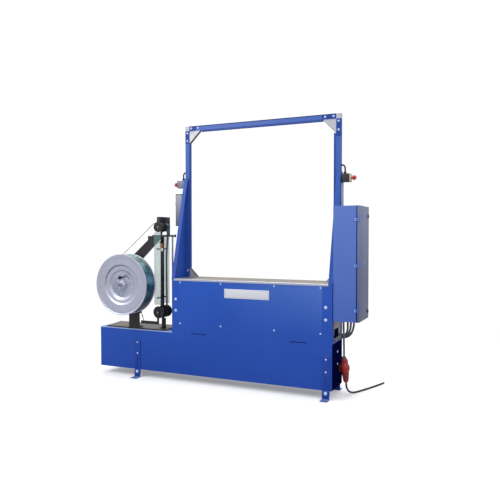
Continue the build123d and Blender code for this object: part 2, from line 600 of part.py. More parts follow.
# plug above, coupler below, joined face to face and leaning a little
PLUG_LOW, PLUG_HIGH = (940.0, 10.0, 107.0), (924.0, 10.0, 298.0)

with BuildPart() as mains_connector:
    lean = Plane(origin=PLUG_LOW, x_dir=(191, 0, 16), z_dir=(0, -1, 0))
    spin = Axis(PLUG_LOW, (-16, 0, 191))
    with BuildSketch(lean) as prof:
        with BuildLine():
            Polyline((0, 191.6), (15, 191.6), (17, 178), (24, 172), (27, 140), (36, 116),
                     (36, 104.3), (0, 104.3), close=True)
        make_face()
    revolve(prof.sketch, axis=spin)
    with BuildSketch(lean) as prof2:
        with BuildLine():
            Polyline((0, 103.8), (35, 103.8), (35, 90), (28, 80), (20, 30), (17, 0), (0, 0),
                     close=True)
        make_face()
    revolve(prof2.sketch, axis=spin)
    # hinged cap of the coupler
    block(889, 902, -7, 27, 168, 203)
    rod_z(924, 10, 292, 301, 9.2, mode=Mode.SUBTRACT)
finish(mains_connector, "mains_connector")

with BuildPart() as mains_cable:
    with BuildLine() as lead:
        Bezier((919, 10, CAB_Z0 + 8), (919, 10, 490), (924, 10, 400), (924, 10, 293))
    with BuildSketch(Plane(origin=(919, 10, CAB_Z0 + 8), z_dir=(0, 0, -1))) as sec:
        Circle(8.0)
    sweep(sec.sketch, path=lead.line)
    with BuildLine() as tail:
        Bezier((940, 10, 105.5), (940, 10, 45), (950, 59, 8), (989, 130, 8))
        Bezier((989, 130, 8), (1028, 201, 8), (1097.6, 392, 8), (1128, 488, 8))
    with BuildSketch(Plane(origin=(940, 10, 105.5), z_dir=(0, 0, -1))) as sec2:
        Circle(7.0)
    sweep(sec2.sketch, path=tail.wire())
finish(mains_cable, "mains_cable")

# ---------------------------------------------------------------- dispenser
with BuildPart() as dispenser_plate:
    with BuildSketch(Plane.XY.offset(DECK_Z)):
        with BuildLine():
            Polyline((-1158, -124), (-575, -124), (-575, 136), (-1208, 136), close=True)
        make_face()
    extrude(amount=DECK_TOP - DECK_Z)
finish(dispenser_plate, "dispenser_plate")

with BuildPart() as dispenser_post:
    # flat steel arm, upright then leaning over to the magazine
    left, right = -933.0, -829.5
    plate_xz(
        [(left, DECK_TOP), (right, DECK_TOP), (right, 970.0), (-590.0, 1195.0),
         (-590.0, 1199.0), (-735.0, 1199.0), (-735.0, 1165.0), (left, 996.0)],
        -120, -108,
    )
    # foot flange and axle boss
    block(left, right, -108, -60, DECK_TOP, DECK_TOP + 10)
    rod_y(SPOOL_X, -108, -92, SPOOL_Z, 32)
    rod_y(SPOOL_X, -121, -91, SPOOL_Z, AXLE_R, mode=Mode.SUBTRACT)
finish(dispenser_post, "dispenser_post")

with BuildPart() as spool_axle:
    rod_y(SPOOL_X, -312, -92, SPOOL_Z, AXLE_R)
    rod_y(SPOOL_X, -150, -121, SPOOL_Z, 24)
finish(spool_axle, "spool_axle")


def ring_profile(points):
    """Sketch in the plane through the spool axis; radius along +X, Y along +Y."""
    with BuildSketch(Plane(origin=(SPOOL_X, 0, SPOOL_Z), x_dir=(1, 0, 0),
                           z_dir=(0, 0, 1))) as prof:
        with BuildLine():
            Polyline(*points, close=True)
        make_face()
    return prof.sketch


SPOOL_AXIS = Axis((SPOOL_X, 0, SPOOL_Z), (0, 1, 0))
# dished front flange, from the rim inwards
FLANGE_FRONT = [
    (SPOOL_R, -292), (SPOOL_R, -286), (170, -288), (160, -280), (128, -280),
    (118, -268), (40, -259), (AXLE_R + RUN, -259), (AXLE_R + RUN, -262),
    (40, -262), (116, -271), (124, -283), (158, -283), (168, -291.5), (246, -290),
    (249, -294), (SPOOL_R, -294),
]
with BuildPart() as spool_flange_front:
    revolve(ring_profile(FLANGE_FRONT), axis=SPOOL_AXIS)
    # raised ribs around the hub
    for k in range(6):
        a = radians(60 * k + 20)
        rod_y(SPOOL_X + 78 * cos(a), -264.6, -269, SPOOL_Z + 78 * sin(a), 9)
finish(spool_flange_front, "spool_flange_front")

with BuildPart() as spool_flange_rear:
    # flange disc, hub drum and the bearing tube on the axle
    revolve(ring_profile([
        (AXLE_R + RUN, -258), (AXLE_R + RUN, -158), (36, -158), (36, -163),
        (246, -163), (246, -160), (SPOOL_R, -160), (SPOOL_R, -166),
        (HUB_R, -166), (HUB_R, -265.5), (HUB_R - 3, -265.5), (HUB_R - 3, -166),
        (24, -166), (24, -258),
    ]), axis=SPOOL_AXIS)
finish(spool_flange_rear, "spool_flange_rear")

with BuildPart() as strap_coil:
    revolve(ring_profile([
        (HUB_R + 0.5, -264), (HUB_R + 0.5, -167), (COIL_R - 2, -167), (COIL_R, -170),
        (COIL_R, -282), (COIL_R - 3, -284.5), (172, -284.5), (164, -276.5), (132, -276.5),
        (121, -264),
    ]), axis=SPOOL_AXIS)
finish(strap_coil, "strap_coil")

with BuildPart() as spool_knob:
    # clamping nut on the spool face and the off-centre knob
    rod_y(SPOOL_X, -284, -262, SPOOL_Z, 34)
    rod_y(SPOOL_X, -300, -284, SPOOL_Z, 24)
    block(SPOOL_X - 46, SPOOL_X + 46, -298, -288, SPOOL_Z - 8, SPOOL_Z + 8)
    rod_y(SPOOL_X, -330, -258, SPOOL_Z, AXLE_R + RUN, mode=Mode.SUBTRACT)
    rod_y(SPOOL_X + 2, -304, -265.3, SPOOL_Z + 60, 7)
    rod_y(SPOOL_X + 2, -318, -300, SPOOL_Z + 60, 15)
finish(spool_knob, "spool_knob")

with BuildPart() as brake_lever:
    # bell crank hanging on the shaft of the lower roller
    block(-636, -618, -138, -132, 463, 573)
    block(-797, -618, -138, -132, 459, 484)
    rod_y(LOW_ROLL_X, -138, -132, LOW_ROLL_Z, 16)
    rod_y(LOW_ROLL_X, -145, -125, LOW_ROLL_Z, SHAFT_R + RUN, mode=Mode.SUBTRACT)
    rod_y(LINK_X, -132, -119, LINK_Z, 4.0)
finish(brake_lever, "brake_lever")

with BuildPart() as brake_rod:
    # eye, rod and brake pad under the rim of the rear flange
    rod_y(LINK_X, -127, -121.5, LINK_Z, 9)
    rod_y(LINK_X, -135, -115, LINK_Z, 4.0 + RUN, mode=Mode.SUBTRACT)
    with BuildSketch(Plane(origin=(LINK_X - 3, -124.5, LINK_Z + 6), z_dir=(-33, 0, 84))) as s:
        Circle(3.0)
    extrude(s.sketch, amount=88)
    block(-815, -797, -152, -121.5, 545, 561)
    arc = [radians(a) for a in range(-79, -64, 2)]
    plate_xz([(SPOOL_X + 254.5 * cos(a), SPOOL_Z + 254.5 * sin(a)) for a in arc]
             + [(SPOOL_X + 262 * cos(a), SPOOL_Z + 262 * sin(a)) for a in reversed(arc)],
             -168, -156)
    plate_xz([(SPOOL_X + 254.5 * cos(a), SPOOL_Z + 254.5 * sin(a)) for a in arc[2:6]]
             + [(SPOOL_X + 262 * cos(a), SPOOL_Z + 262 * sin(a)) for a in reversed(arc[2:6])],
             -156, -140)
finish(brake_rod, "brake_rod")

with BuildPart() as magazine_post:
    block(-642, -624, MAG_Y - 7, MAG_Y + 7, DECK_TOP, 1192)
    rod_y(LOW_ROLL_X, MAG_Y - 14, MAG_Y + 14, LOW_ROLL_Z, 18)
    rod_y(LOW_ROLL_X, MAG_Y - 16, MAG_Y + 16, LOW_ROLL_Z, SHAFT_R + RUN, mode=Mode.SUBTRACT)
    block(-656, -616, MAG_Y - 20, MAG_Y + 20, DECK_TOP, DECK_TOP + 6)
    block(-642, -608, MAG_Y - 7, MAG_Y + 7, DECK_TOP, 503)
    # brackets that hold the two guide plates
    for z in (680.0, 1090.0):
        block(MAG_X - 5, MAG_X + 5, MAG_Y0 + 3, MAG_Y1 - 3, z - 5, z + 5)
finish(magazine_post, "magazine_post")

with BuildPart() as magazine_plates:
    block(MAG_X - 32, MAG_X + 32, MAG_Y0, MAG_Y0 + 3, 623, 1230)
    block(MAG_X - 32, MAG_X + 32, MAG_Y1 - 3, MAG_Y1, 623, 1199)
finish(magazine_plates, "magazine_plates")

HOOD_X0, HOOD_X1 = -643.0, -610.0

with BuildPart() as magazine_hood:
    # top strip, band down the right side, rear upright and the two cheeks
    block(HOOD_X0, HOOD_X1, -124, 29, 1356, 1359)
    block(HOOD_X1 - 3, HOOD_X1, -124, 29, 1320, 1359)
    block(HOOD_X1 - 3, HOOD_X1, 0, 29, 1208, 1359)
    block(HOOD_X0, HOOD_X1, 26, 29, 1208, 1359)
    block(HOOD_X0, HOOD_X1, -124, -121, 1245, 1359)
    rod_y(TOP_ROLL_X, -160, 40, TOP_ROLL_Z, SHAFT_R + RUN, mode=Mode.SUBTRACT)
finish(magazine_hood, "magazine_hood")

with BuildPart() as top_roller:
    rod_y(TOP_ROLL_X, -137, 33, TOP_ROLL_Z, SHAFT_R)
    rod_y(TOP_ROLL_X, -118, -4, TOP_ROLL_Z, 34)
    rod_y(TOP_ROLL_X, -134, -127, TOP_ROLL_Z, TOP_ROLL_R)
    rod_y(TOP_ROLL_X, -66, -59, TOP_ROLL_Z, TOP_ROLL_R - 0.5)
    for k in range(5):
        a = radians(72 * k + 90)
        rod_y(TOP_ROLL_X + 24 * cos(a), -135, -132, TOP_ROLL_Z + 24 * sin(a), 6,
              mode=Mode.SUBTRACT)
finish(top_roller, "top_roller")

with BuildPart() as bottom_roller:
    rod_y(LOW_ROLL_X, -142, 8, LOW_ROLL_Z, SHAFT_R)
    for y0, y1 in ((-130, -65), (-35, 4)):
        rod_y(LOW_ROLL_X, y0, y1, LOW_ROLL_Z, 38)
    for y0, y1 in ((-130, -124), (-71, -65), (-35, -29), (-2, 4)):
        rod_y(LOW_ROLL_X, y0, y1, LOW_ROLL_Z, LOW_ROLL_R)
    for k in range(5):
        a = radians(72 * k + 90)
        rod_y(LOW_ROLL_X + 28 * cos(a), -131, -127, LOW_ROLL_Z + 28 * sin(a), 6.5,
              mode=Mode.SUBTRACT)
finish(bottom_roller, "bottom_roller")

with BuildPart() as tie_bar:
    # flat on the arm, square bar across the magazine, threaded end
    block(-735, -590, -108, -40, 1195, 1199)
    block(-735, -524, MAG_Y - 8, MAG_Y + 8, 1192, 1208)
    rod_x(-524, -508, MAG_Y, 1200, 8)
    rod_x(-514, -506, MAG_Y, 1200, 12)
    # saddle under the roller hood
    block(-640, -612, MAG_Y + 8, 29, 1200, 1208)
    # guide rod down to the deck of the base
    rod_z(-536, MAG_Y, DECK_Z, 1192, 7)
finish(tie_bar, "tie_bar")

with BuildPart() as strap_run:
    # strap from the coil to the top roller and down to the bottom roller
    a0 = radians(128)
    x_s, z_s = SPOOL_X + (COIL_R + 0.4) * cos(a0), SPOOL_Z + (COIL_R + 0.4) * sin(a0)
    b0 = radians(130)
    x_e, z_e = TOP_ROLL_X + 45.0 * cos(b0), TOP_ROLL_Z + 45.0 * sin(b0)
    dx, dz = x_e - x_s, z_e - z_s
    n = sqrt(dx * dx + dz * dz)
    nx, nz = -dz / n * 0.8, dx / n * 0.8
    plate_xz([(x_s, z_s), (x_e, z_e), (x_e + nx, z_e + nz), (x_s + nx, z_s + nz)],
             -146, -137)
finish(strap_run, "strap_run")

# ---------------------------------------------------------------- strapping head
with BuildPart() as head_frame:
    for y0, y1 in ((76, 84), (118, 126)):
        block(HEAD_X0, HEAD_X1, y0, y1, 600, 826)
    block(HEAD_X0, HEAD_X1, 76, 126, 592, 600)
    block(HEAD_X0, HEAD_X0 + 10, 84, 118, 600, 640)
    block(HEAD_X1 - 10, HEAD_X1, 84, 118, 600, 700)
    # stand on the carrier plate of the base
    for x0, x1 in ((HEAD_X0, HEAD_X0 + 8), (HEAD_X1 - 8, HEAD_X1)):
        block(x0, x1, 60, 106, DECK_Z, 600)
    for x, z, r in ((FEED_X, FEED_Z, SHAFT_R), (FEED_X, PINCH_Z, 6.0), (CAM_X, CAM_Z, 10.0)):
        rod_y(x, 70, 130, z, r + RUN, mode=Mode.SUBTRACT)
finish(head_frame, "head_frame")

with BuildPart() as feed_motor:
    rod_y(FEED_X, -84, 70, FEED_Z, 46)
    rod_y(FEED_X, 70, 76, FEED_Z, 60)
    block(FEED_X - 30, FEED_X + 30, -60, 20, FEED_Z + 40, FEED_Z + 72)
    rod_y(FEED_X, -70, 80, FEED_Z, SHAFT_R + 0.5, mode=Mode.SUBTRACT)
    rod_y(FEED_X, -110, -84, FEED_Z, 40)
finish(feed_motor, "feed_motor")

with BuildPart() as feed_wheel:
    rod_y(FEED_X, -60, 130, FEED_Z, SHAFT_R)
    rod_y(FEED_X, ARCH_Y - 9, ARCH_Y + 9, FEED_Z, FEED_R)
finish(feed_wheel, "feed_wheel")

with BuildPart() as pinch_wheel:
    rod_y(FEED_X, 72, 130, PINCH_Z, 6.0)
    rod_y(FEED_X, ARCH_Y - 8, ARCH_Y + 8, PINCH_Z, PINCH_R)
finish(pinch_wheel, "pinch_wheel")

with BuildPart() as cam_shaft:
    rod_y(CAM_X, 66, 132, CAM_Z, 10.0)
    rod_y(CAM_X, ARCH_Y - 12, ARCH_Y + 12, CAM_Z - 8, 28)
    rod_y(CAM_X, 50, 66, CAM_Z, 30)
finish(cam_shaft, "cam_shaft")

with BuildPart() as press_block:
    block(CAM_X - 30, CAM_X + 30, 85, 117, 724.5, 760)
    block(CAM_X - 24, CAM_X + 24, 94, 108, 760, 836)
finish(press_block, "press_block")
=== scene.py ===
import math
import random

import bmesh
import bpy
from mathutils import Matrix, Vector


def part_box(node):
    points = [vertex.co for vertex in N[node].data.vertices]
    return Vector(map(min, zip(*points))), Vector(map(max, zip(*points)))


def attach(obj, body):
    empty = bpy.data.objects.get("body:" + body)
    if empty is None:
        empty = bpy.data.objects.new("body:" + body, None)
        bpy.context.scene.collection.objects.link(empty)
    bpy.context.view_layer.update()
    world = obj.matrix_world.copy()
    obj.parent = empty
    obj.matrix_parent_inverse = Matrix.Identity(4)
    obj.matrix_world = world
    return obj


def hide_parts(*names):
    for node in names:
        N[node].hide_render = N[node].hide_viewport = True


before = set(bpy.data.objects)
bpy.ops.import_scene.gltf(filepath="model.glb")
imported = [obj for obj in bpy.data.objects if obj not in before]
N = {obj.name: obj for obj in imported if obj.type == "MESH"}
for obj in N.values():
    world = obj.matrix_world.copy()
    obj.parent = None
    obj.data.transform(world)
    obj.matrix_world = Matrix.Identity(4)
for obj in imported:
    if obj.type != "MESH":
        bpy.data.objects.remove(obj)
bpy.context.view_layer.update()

MM = 0.001


def B(node):
    """Box of a CAD node in mm: x0, x1, y0, y1, z0, z1."""
    lo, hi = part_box(node)
    return [round(v / MM, 3) for v in (lo.x, hi.x, lo.y, hi.y, lo.z, hi.z)]


# =====================================================================
# materials: every one is a node tree in object space, in metres
# =====================================================================
def lin(r, g, b):
    """sRGB 0-255 to linear."""
    out = []
    for c in (r, g, b):
        c = c / 255.0
        out.append(c / 12.92 if c <= 0.04045 else ((c + 0.055) / 1.055) ** 2.4)
    return (out[0], out[1], out[2], 1.0)


class Tree:
    def __init__(self, name):
        self.mat = bpy.data.materials.new(name)
        self.mat.use_nodes = True
        self.t = self.mat.node_tree
        self.t.nodes.clear()
        self.out = self.n("ShaderNodeOutputMaterial")
        self.bsdf = self.n("ShaderNodeBsdfPrincipled")
        self.l(self.bsdf.outputs[0], self.out.inputs[0])
        self.tc = self.n("ShaderNodeTexCoord").outputs["Object"]
        self.normal = None

    def n(self, kind, **kw):
        node = self.t.nodes.new(kind)
        for k, v in kw.items():
            setattr(node, k, v)
        return node

    def l(self, a, b):
        self.t.links.new(a, b)

    def put(self, node, name, value):
        s = node.inputs[name]
        if hasattr(value, "is_output"):
            self.l(value, s)
        else:
            s.default_value = value

    def scaled(self, sx, sy, sz, rot=(0, 0, 0)):
        m = self.n("ShaderNodeMapping")
        m.inputs["Scale"].default_value = (sx, sy, sz)
        m.inputs["Rotation"].default_value = rot
        self.l(self.tc, m.inputs["Vector"])
        return m.outputs[0]

    def noise(self, scale, detail=2.0, rough=0.5, vec=None, out="Fac", distortion=0.0):
        x = self.n("ShaderNodeTexNoise")
        x.inputs["Scale"].default_value = scale
        x.inputs["Detail"].default_value = detail
        x.inputs["Roughness"].default_value = rough
        x.inputs["Distortion"].default_value = distortion
        self.l(vec or self.tc, x.inputs["Vector"])
        return x.outputs[out]

    def voronoi(self, scale, out="Distance", vec=None, feature="F1"):
        x = self.n("ShaderNodeTexVoronoi")
        x.feature = feature
        x.inputs["Scale"].default_value = scale
        self.l(vec or self.tc, x.inputs["Vector"])
        return x.outputs[out]

    def remap(self, v, a, b, c, d, clamp=True):
        x = self.n("ShaderNodeMapRange")
        x.clamp = clamp
        for key, val in zip(("From Min", "From Max", "To Min", "To Max"), (a, b, c, d)):
            x.inputs[key].default_value = val
        self.put(x, "Value", v)
        return x.outputs[0]

    def math(self, op, a, b=0.0):
        x = self.n("ShaderNodeMath", operation=op)
        for i, v in enumerate((a, b)):
            if hasattr(v, "is_output"):
                self.l(v, x.inputs[i])
            else:
                x.inputs[i].default_value = v
        return x.outputs[0]

    def mix(self, fac, a, b, blend="MIX"):
        x = self.n("ShaderNodeMix", data_type="RGBA", blend_type=blend)
        for sock, v in ((x.inputs[0], fac), (x.inputs[6], a), (x.inputs[7], b)):
            if hasattr(v, "is_output"):
                self.l(v, sock)
            else:
                sock.default_value = v
        return x.outputs[2]

    def bump(self, height, strength=0.3, distance=0.001):
        x = self.n("ShaderNodeBump")
        x.inputs["Strength"].default_value = strength
        x.inputs["Distance"].default_value = distance
        self.l(height, x.inputs["Height"])
        if self.normal is not None:
            self.l(self.normal, x.inputs["Normal"])
        self.normal = x.outputs[0]
        return self.normal

    def edges(self, radius=0.0015, samples=3):
        """1 on convex and concave edges, 0 on flats."""
        b = self.n("ShaderNodeBevel", samples=samples)
        b.inputs["Radius"].default_value = radius
        g = self.n("ShaderNodeNewGeometry")
        d = self.n("ShaderNodeVectorMath", operation="DOT_PRODUCT")
        self.l(b.outputs[0], d.inputs[0])
        self.l(g.outputs["Normal"], d.inputs[1])
        return self.remap(d.outputs["Value"], 0.75, 0.995, 1.0, 0.0)

    def axis(self, which):
        s = self.n("ShaderNodeSeparateXYZ")
        self.l(self.tc, s.inputs[0])
        return s.outputs[which]

    def facing(self, v):
        """How far the face looks along v, whatever the part's turn."""
        g = self.n("ShaderNodeNewGeometry")
        d = self.n("ShaderNodeVectorMath", operation="DOT_PRODUCT")
        self.l(g.outputs["True Normal"], d.inputs[0])
        d.inputs[1].default_value = v
        return d.outputs["Value"]

    def done(self, color, rough, metal=0.0, **more):
        self.put(self.bsdf, "Base Color", color)
        self.put(self.bsdf, "Roughness", rough)
        self.put(self.bsdf, "Metallic", metal)
        for k, v in more.items():
            self.put(self.bsdf, k.replace("_", " "), v)
        if self.normal is not None:
            self.l(self.normal, self.bsdf.inputs["Normal"])
        return self.mat


def paint(name, low, high, z0=0.06, z1=1.0, rough=0.42, wear=0.35, light=None, coat=0.12,
          spec=0.5, top=None, side=None):
    """Powder-coated sheet: painted shade, darker low down and lighter higher up; orange peel, faint
    scuffs, worn edges; side adds a painted glow towards the upper right, top a painted sheen with some
    dust on upward faces.
    """
    t = Tree(name)
    # painted shade: the tone runs from low at z0 to high at z1, so the sheet is darker low down
    base = t.mix(t.remap(t.axis("Z"), z0, z1, 0.0, 1.0), low, high)
    broad = t.noise(2.3, 3.0, 0.55)
    base = t.mix(t.remap(broad, 0.3, 0.7, 0.0, 0.16), base,
                 light or tuple(min(1.0, c * 1.35 + 0.02) for c in high[:3]) + (1.0,))
    # painted light: with side given, the sheet is lightened towards +X above about 0.45 m
    if side is not None:
        far = t.math("MULTIPLY", t.remap(t.axis("X"), -0.1, 0.95, 0.0, 0.55),
                     t.remap(t.axis("Z"), 0.45, 0.80, 0.0, 1.0))
        base = t.mix(far, base, side)
    speck = t.noise(620.0, 1.0, 0.5)
    base = t.mix(t.remap(speck, 0.60, 0.78, 0.0, 0.10), base, (0.0, 0.0, 0.01, 1))
    scuff = t.noise(34.0, 5.0, 0.7, vec=t.scaled(1.0, 1.0, 4.0), distortion=0.6)
    scuff = t.remap(scuff, 0.66, 0.80, 0.0, 1.0)
    base = t.mix(t.math("MULTIPLY", scuff, 0.10), base, (0.55, 0.60, 0.72, 1))
    edge = t.edges(0.0018)
    patchy = t.remap(t.noise(60.0, 3.0, 0.6), 0.35, 0.7, 0.25, 1.0)
    base = t.mix(t.math("MULTIPLY", t.math("MULTIPLY", edge, patchy), wear), base,
                 tuple(min(1.0, c * 1.9 + 0.06) for c in high[:3]) + (1.0,))
    # painted sheen with some dust: faces that look up are lightened towards top, broken by noise, for
    # the bright overhead they mirror
    if top is not None:
        g = t.n("ShaderNodeNewGeometry")
        d = t.n("ShaderNodeSeparateXYZ")
        t.l(g.outputs["True Normal"], d.inputs[0])
        up = t.math("MULTIPLY", t.remap(d.outputs[2], 0.55, 0.9, 0.0, 0.85),
                    t.remap(t.noise(12.0, 4.0, 0.6), 0.2, 0.6, 0.75, 1.0))
        base = t.mix(up, base, top)
    r = t.math("ADD", t.remap(broad, 0.25, 0.75, rough - 0.05, rough + 0.05),
               t.math("MULTIPLY", scuff, 0.12))
    t.bump(t.noise(520.0, 2.0, 0.6), 0.10, 0.0004)
    t.bump(t.noise(5.0, 2.0, 0.5), 0.05, 0.0040)
    return t.done(base, r, 0.0, Coat_Weight=coat, Coat_Roughness=0.28,
                  Specular_IOR_Level=spec)


def brushed(name, color, along="X", rough=0.34, stripe=0.0, contrast=0.30, metal=1.0,
            dirt=0.18, dark=None):
    """Brushed or rolled metal: long grain along one axis, faint scratches, soiling."""
    t = Tree(name)
    stretch = {"X": (3, 900, 900), "Y": (900, 3, 900), "Z": (900, 900, 3)}[along]
    grain = t.noise(1.0, 3.0, 0.65, vec=t.scaled(*stretch))
    wide = {"X": (0.7, 55, 55), "Y": (55, 0.7, 55), "Z": (55, 55, 0.7)}[along]
    band = t.noise(1.0, 2.0, 0.5, vec=t.scaled(*wide))
    dark = dark or tuple(c * (1 - contrast) for c in color[:3]) + (1.0,)
    base = t.mix(t.remap(grain, 0.25, 0.75, 0.0, 1.0), dark, color)
    base = t.mix(t.math("MULTIPLY", t.remap(band, 0.35, 0.68, 0.0, 1.0), stripe), base, dark)
    soil = t.remap(t.noise(9.0, 5.0, 0.62), 0.52, 0.75, 0.0, dirt)
    base = t.mix(soil, base, tuple(c * 0.45 for c in color[:3]) + (1.0,))
    edge = t.edges(0.0012)
    base = t.mix(t.math("MULTIPLY", edge, 0.35), base, (0.9, 0.9, 0.9, 1))
    r = t.math("ADD", t.remap(grain, 0.2, 0.8, rough - 0.06, rough + 0.08), soil)
    t.bump(grain, 0.12, 0.0003)
    return t.done(base, r, metal, Anisotropic=0.45)


def spangle(name, color, rough=0.40):
    """Hot-dip galvanised sheet with crystal spangle."""
    t = Tree(name)
    cell = t.voronoi(75.0, "Color")
    g = t.n("ShaderNodeSeparateColor")
    t.l(cell, g.inputs[0])
    base = t.mix(t.remap(g.outputs[0], 0.0, 1.0, 0.0, 0.55), color,
                 tuple(c * 0.62 for c in color[:3]) + (1.0,))
    soil = t.remap(t.noise(14.0, 4.0, 0.6), 0.45, 0.72, 0.0, 0.35)
    base = t.mix(soil, base, (0.10, 0.09, 0.075, 1))
    r = t.remap(g.outputs[1], 0.0, 1.0, rough - 0.08, rough + 0.14)
    t.bump(t.voronoi(75.0), 0.05, 0.0005)
    return t.done(base, r, 0.85)


def plastic(name, color, rough=0.45, grain=900.0, bump=0.12, coat=0.0, wear=0.2, sub=0.0):
    """Moulded plastic with a fine spark-eroded grain and slightly polished edges."""
    t = Tree(name)
    v = t.remap(t.noise(16.0, 3.0, 0.6), 0.3, 0.7, 0.0, 0.14)
    base = t.mix(v, color, tuple(min(1.0, c * 1.5 + 0.015) for c in color[:3]) + (1.0,))
    edge = t.edges(0.0008)
    base = t.mix(t.math("MULTIPLY", edge, wear), base,
                 tuple(min(1.0, c * 1.8 + 0.05) for c in color[:3]) + (1.0,))
    fine = t.noise(grain, 2.0, 0.6)
    r = t.remap(fine, 0.3, 0.7, rough - 0.05, rough + 0.07)
    t.bump(fine, bump, 0.0004)
    return t.done(base, r, 0.0, Coat_Weight=coat, Coat_Roughness=0.15)


def worn_black(name, color, high, rough=0.42, z0=0.4, z1=1.4, dust=0.25):
    """Black enamel with dust on it and rubbed edges."""
    t = Tree(name)
    # painted light: the black lightens from color at z0 to high at z1, darker low down
    base = t.mix(t.remap(t.axis("Z"), z0, z1, 0.0, 1.0), color, high)
    d = t.remap(t.noise(22.0, 5.0, 0.65), 0.42, 0.75, 0.0, dust)
    base = t.mix(d, base, (0.13, 0.12, 0.115, 1))
    edge = t.edges(0.0014)
    base = t.mix(t.math("MULTIPLY", edge, 0.35), base, (0.22, 0.21, 0.21, 1))
    t.bump(t.noise(420.0, 2.0, 0.6), 0.14, 0.0005)
    return t.done(base, t.math("ADD", t.remap(d, 0.0, 0.3, rough, rough + 0.2), 0.0), 0.0,
                  Coat_Weight=0.1)


def spun(name, centre, color, rough=0.30):
    """Spun aluminium: turning marks in rings round the spool axis (along Y)."""
    t = Tree(name)
    s = t.n("ShaderNodeVectorMath", operation="SUBTRACT")
    t.l(t.tc, s.inputs[0])
    s.inputs[1].default_value = centre
    m = t.n("ShaderNodeVectorMath", operation="MULTIPLY")
    t.l(s.outputs[0], m.inputs[0])
    m.inputs[1].default_value = (1.0, 0.0, 1.0)
    ln = t.n("ShaderNodeVectorMath", operation="LENGTH")
    t.l(m.outputs[0], ln.inputs[0])
    rad = ln.outputs["Value"]
    x = t.n("ShaderNodeTexNoise", noise_dimensions="1D")
    x.inputs["Scale"].default_value = 900.0
    x.inputs["Detail"].default_value = 3.0
    t.l(rad, x.inputs["W"])
    rings = x.outputs["Fac"]
    y = t.n("ShaderNodeTexNoise", noise_dimensions="1D")
    y.inputs["Scale"].default_value = 60.0
    y.inputs["Detail"].default_value = 2.0
    t.l(rad, y.inputs["W"])
    base = t.mix(t.remap(rings, 0.3, 0.7, 0.0, 1.0),
                 tuple(c * 0.86 for c in color[:3]) + (1.0,), color)
    base = t.mix(t.remap(y.outputs["Fac"], 0.4, 0.65, 0.0, 0.22), base,
                 tuple(c * 0.62 for c in color[:3]) + (1.0,))
    smear = t.remap(t.noise(11.0, 4.0, 0.6), 0.45, 0.75, 0.0, 0.22)
    base = t.mix(smear, base, (0.30, 0.31, 0.36, 1))
    # painted reflection: the dished steps are darkened on one side only, where they would mirror the
    # dark underside of the spool, and the hub dish is made darker blue on its lower left
    base = t.mix(t.math("MULTIPLY", t.remap(t.facing((0.45, 0.0, -0.89)), 0.16, 0.46, 0.0, 0.82),
                        t.math("MULTIPLY", t.remap(rad, 0.19, 0.20, 1.0, 0.0),
                               t.remap(rad, 0.140, 0.152, 0.30, 1.0))), base, (0.10, 0.11, 0.15, 1))
    base = t.mix(t.math("MULTIPLY", t.remap(t.facing((0.6, 0.0, 0.8)), -0.03, 0.12, 0.0, 0.62),
                        t.remap(rad, 0.104, 0.112, 1.0, 0.0)), base, (0.20, 0.24, 0.36, 1))
    r = t.math("ADD", t.remap(rings, 0.3, 0.7, rough - 0.04, rough + 0.08), smear)
    t.bump(rings, 0.06, 0.0003)
    tan = t.n("ShaderNodeTangent", direction_type="RADIAL", axis="Y")
    return t.done(base, r, 0.80, Anisotropic=0.35)


def wound(name, centre, deep, mid, pale):
    """Wound plastic strap: strap-wide bands across the coil, turn edges on the faces."""
    t = Tree(name)
    ang = t.noise(1.0, 2.0, 0.5, vec=t.scaled(7, 0.5, 7))
    bands = t.n("ShaderNodeTexNoise", noise_dimensions="1D")
    bands.inputs["Scale"].default_value = 105.0
    bands.inputs["Detail"].default_value = 1.0
    t.l(t.math("ADD", t.axis("Y"), t.math("MULTIPLY", ang, 0.006)), bands.inputs["W"])
    base = t.mix(t.remap(bands.outputs["Fac"], 0.36, 0.66, 0.0, 1.0), deep, mid)
    glow = t.noise(6.0, 3.0, 0.6)
    base = t.mix(t.remap(glow, 0.50, 0.74, 0.0, 0.75), base, pale)
    s = t.n("ShaderNodeVectorMath", operation="SUBTRACT")
    t.l(t.tc, s.inputs[0])
    s.inputs[1].default_value = centre
    m = t.n("ShaderNodeVectorMath", operation="MULTIPLY")
    t.l(s.outputs[0], m.inputs[0])
    m.inputs[1].default_value = (1.0, 0.0, 1.0)
    ln = t.n("ShaderNodeVectorMath", operation="LENGTH")
    t.l(m.outputs[0], ln.inputs[0])
    turns = t.n("ShaderNodeTexNoise", noise_dimensions="1D")
    turns.inputs["Scale"].default_value = 1400.0
    t.l(ln.outputs["Value"], turns.inputs["W"])
    base = t.mix(t.remap(turns.outputs["Fac"], 0.4, 0.6, 0.0, 0.18), base, deep)
    # coil is darker low down, where less light gets through the strap
    zz = t.remap(t.axis("Z"), 0.56, 1.03, 0.62, 0.0)
    base = t.mix(zz, base, tuple(c * 0.42 for c in deep[:3]) + (1.0,))
    # painted reflection: coil faces that look up turn pale green, for the bright overhead
    rise = t.facing((0.0, 0.0, 1.0))
    base = t.mix(t.math("MULTIPLY", t.remap(rise, 0.60, 0.92, 0.0, 0.72),
                        t.remap(bands.outputs["Fac"], 0.42, 0.62, 0.25, 1.0)), base,
                 (0.52, 0.62, 0.52, 1))
    # painted highlight: a blue band where the coil faces a little above sideways
    sky = t.math("MULTIPLY", t.remap(rise, -0.04, 0.10, 0.0, 1.0), t.remap(rise, 0.22, 0.36, 1.0, 0.0))
    base = t.mix(t.math("MULTIPLY", sky, t.remap(glow, 0.40, 0.62, 0.25, 0.80)), base,
                 (0.20, 0.42, 0.58, 1))
    t.bump(bands.outputs["Fac"], 0.5, 0.0012)
    t.bump(turns.outputs["Fac"], 0.15, 0.0003)
    return t.done(base, t.remap(glow, 0.3, 0.7, 0.22, 0.36), 0.0, Coat_Weight=0.35,
                  Coat_Roughness=0.2)


